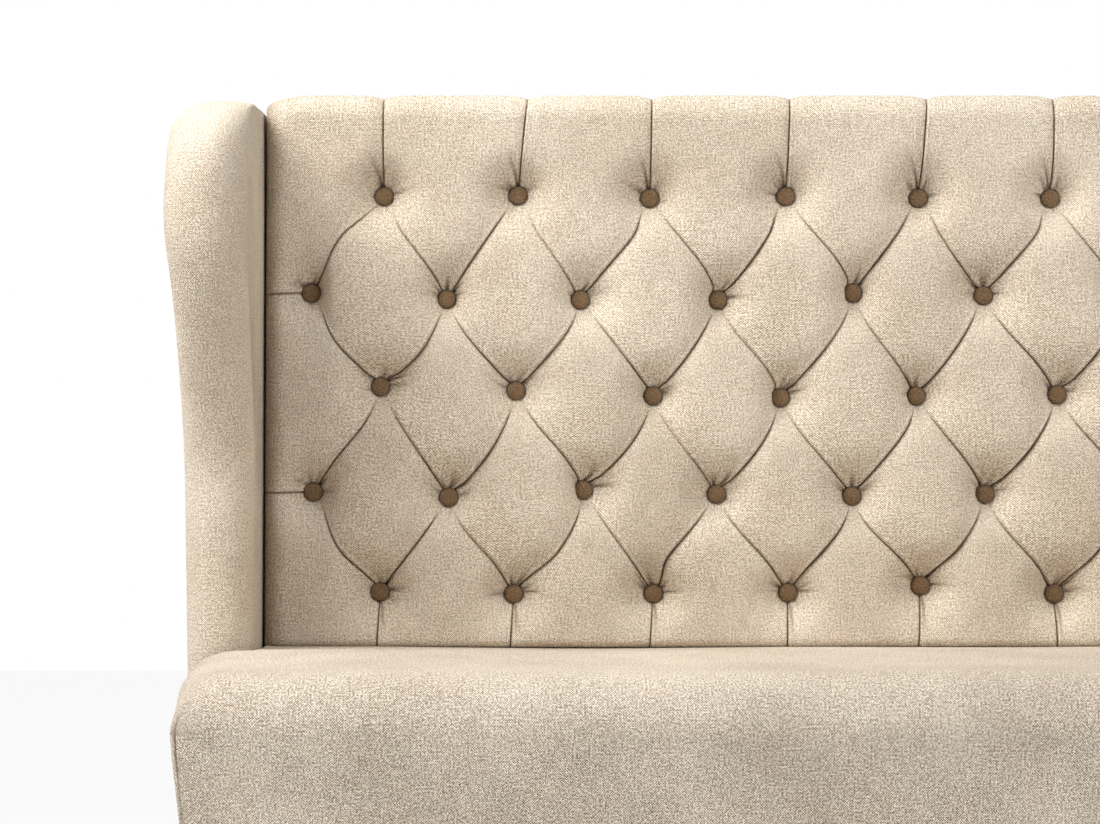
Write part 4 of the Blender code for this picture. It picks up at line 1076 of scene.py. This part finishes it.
def rubbed_metal():
    """Plated or drawn steel: fine draw lines, dull patches and small dark specks."""
    group, (place, rough, pale, deep) = new_group(
        "Rubbed metal", ("Place", "Rough", "Pale", "Deep"), ("Color", "Roughness", "Height")
    )
    drawn = noise(group, stretched(group, place, (0.05, 1.0, 1.0)), 1400.0, 2.0)
    dull = span(group, noise(group, place, 85.0, 4.0), 0.40, 0.70)
    dulled = sums(group, "MULTIPLY_ADD", dull, 0.22, sums(group, "MULTIPLY_ADD", drawn, 0.10, rough))
    return give_out(group, mixed(group, sums(group, "MULTIPLY", dull, 0.7), pale, deep), dulled, drawn)


foam = grown_material(
    "foam", open_cells(), 0.0006, 0.5, Pale=(0.86, 0.80, 0.58), Deep=(0.62, 0.53, 0.33), plain={"Roughness": 0.9}
)
felt = grown_material(
    "felt", bonded_group, 0.0008, 0.5, Pale=(0.20, 0.19, 0.18), Deep=(0.07, 0.065, 0.06),
    plain={"Roughness": 0.95, "Sheen Weight": 0.3, "Sheen Roughness": 0.6},
)
steel = grown_material(
    "steel", rubbed_metal(), 0.0001, 0.3, Pale=(0.56, 0.56, 0.57), Deep=(0.30, 0.29, 0.28), Rough=0.24,
    plain={"Metallic": 1.0},
)
dress(foam, "_foam")
dress(felt, "spring_pad")
dress(steel, "seat_spring", "bolt")

# --- Legs --------------------------------------------------------------------------------------
# Tapered beech legs stained dark and satin lacquered, screwed up into the corner blocks on hanger
# bolts, each with a moulded nylon glide nailed to its foot.


def scuffed_plastic():
    """Moulded nylon, yellowed and scuffed where it slides."""
    group, (place, pale, deep) = new_group(
        "Scuffed plastic", ("Place", "Pale", "Deep"), ("Color", "Roughness", "Height")
    )
    scuffs = noise(group, place, 620.0, 5.0, 0.7)
    near_floor = span(group, put(group, "SeparateXYZ", i0=place).outputs[2], 0.0004, 0.0030, 1.0, 0.25)
    worn = sums(group, "MULTIPLY", span(group, scuffs, 0.45, 0.65), near_floor)
    return give_out(group, mixed(group, worn, pale, deep), span(group, worn, 0.0, 1.0, 0.38, 0.7), scuffs)


leg_wood = grown_material(
    "leg_wood", grain_group, 0.00025, 0.5, "z", Pale=(0.085, 0.044, 0.024), Deep=(0.030, 0.015, 0.009),
    Rings=42.0, Rough=0.30, Pores=0.5,
    plain={"Coat Weight": 0.35, "Coat Roughness": 0.22, "Specular IOR Level": 0.5},
)
nylon = grown_material("nylon", scuffed_plastic(), 0.0001, 0.4, Pale=(0.66, 0.63, 0.57), Deep=(0.34, 0.31, 0.27))
dress(leg_wood, "_leg")
dress(nylon, "_glide")

# --- Floor, light and camera -------------------------------------------------------------------
# A pale floor and soft studio light from the upper left, and a camera straight in front.
floor_bm = bmesh.new()
bmesh.ops.create_grid(floor_bm, x_segments=1, y_segments=1, size=6)
floor_mesh = bpy.data.meshes.new("floor")
floor_bm.to_mesh(floor_mesh)
floor_bm.free()
floor = added("floor", floor_mesh)


def seen_rays(tree):
    """1 for the rays that show a surface to the camera, directly or in another surface."""
    rays = put(tree, "LightPath").outputs
    other = sums(tree, "MAXIMUM", rays["Is Glossy Ray"], rays["Is Transmission Ray"])
    return sums(tree, "MAXIMUM", rays["Is Camera Ray"], other)


floor_finish, tree, paint = new_material("floor", {"Base Color": (0.86, 0.86, 0.86, 1), "Roughness": 0.7})
glow = put(tree, "Emission", Color=(1, 1, 1, 1), Strength=1.0)
glow_share = sums(tree, "MULTIPLY", seen_rays(tree), 0.93)
pale_floor = put(tree, "MixShader", Fac=glow_share, i1=paint.outputs[0], i2=glow.outputs[0])
tree.links.new(pale_floor.outputs[0], tree.nodes["Material Output"].inputs["Surface"])
floor_mesh.materials.append(floor_finish)

world = bpy.data.worlds.new("studio")
bpy.context.scene.world = world
world.use_nodes = True
tree = world.node_tree
surround = tree.nodes["Background"]
surround.inputs["Color"].default_value = (1.0, 1.0, 1.0, 1)
surround.inputs["Strength"].default_value = 0.06
seen = put(tree, "Background", Color=(1, 1, 1, 1), Strength=1.0)
backdrop = put(tree, "MixShader", Fac=seen_rays(tree), i1=surround.outputs[0], i2=seen.outputs[0])
tree.links.new(backdrop.outputs[0], tree.nodes["World Output"].inputs["Surface"])


def softbox(name, place, width, height, watts, colour=(1, 1, 1)):
    """A rectangular lamp turned to the middle of the sofa."""
    data = bpy.data.lights.new(name, "AREA")
    data.shape = "RECTANGLE"
    data.size, data.size_y = width, height
    data.energy = watts
    data.color = colour
    lamp = added(name, data)
    lamp.location = place
    lamp.rotation_euler = (Vector((0, -0.1, 0.6)) - Vector(place)).to_track_quat("-Z", "Y").to_euler()


softbox("top", (-0.4, -0.6, 3.2), 2.6, 1.6, 33)
softbox("key", (-1.8, -0.8, 2.6), 1.6, 1.2, 82, (1.0, 0.985, 0.965))
softbox("fill", (2.4, -2.4, 2.2), 1.6, 1.4, 56)
softbox("side", (-3.0, -1.2, 1.4), 1.4, 1.4, 8)

camera_data = bpy.data.cameras.new("camera")
camera_data.sensor_width = 36
camera_data.lens = 110.26
camera = added("camera", camera_data)
camera.location = (-0.312, -3.30, 0.715)
camera.rotation_euler = (math.radians(90), 0, 0)
bpy.context.scene.camera = camera
bpy.context.scene.view_settings.view_transform = "Standard"
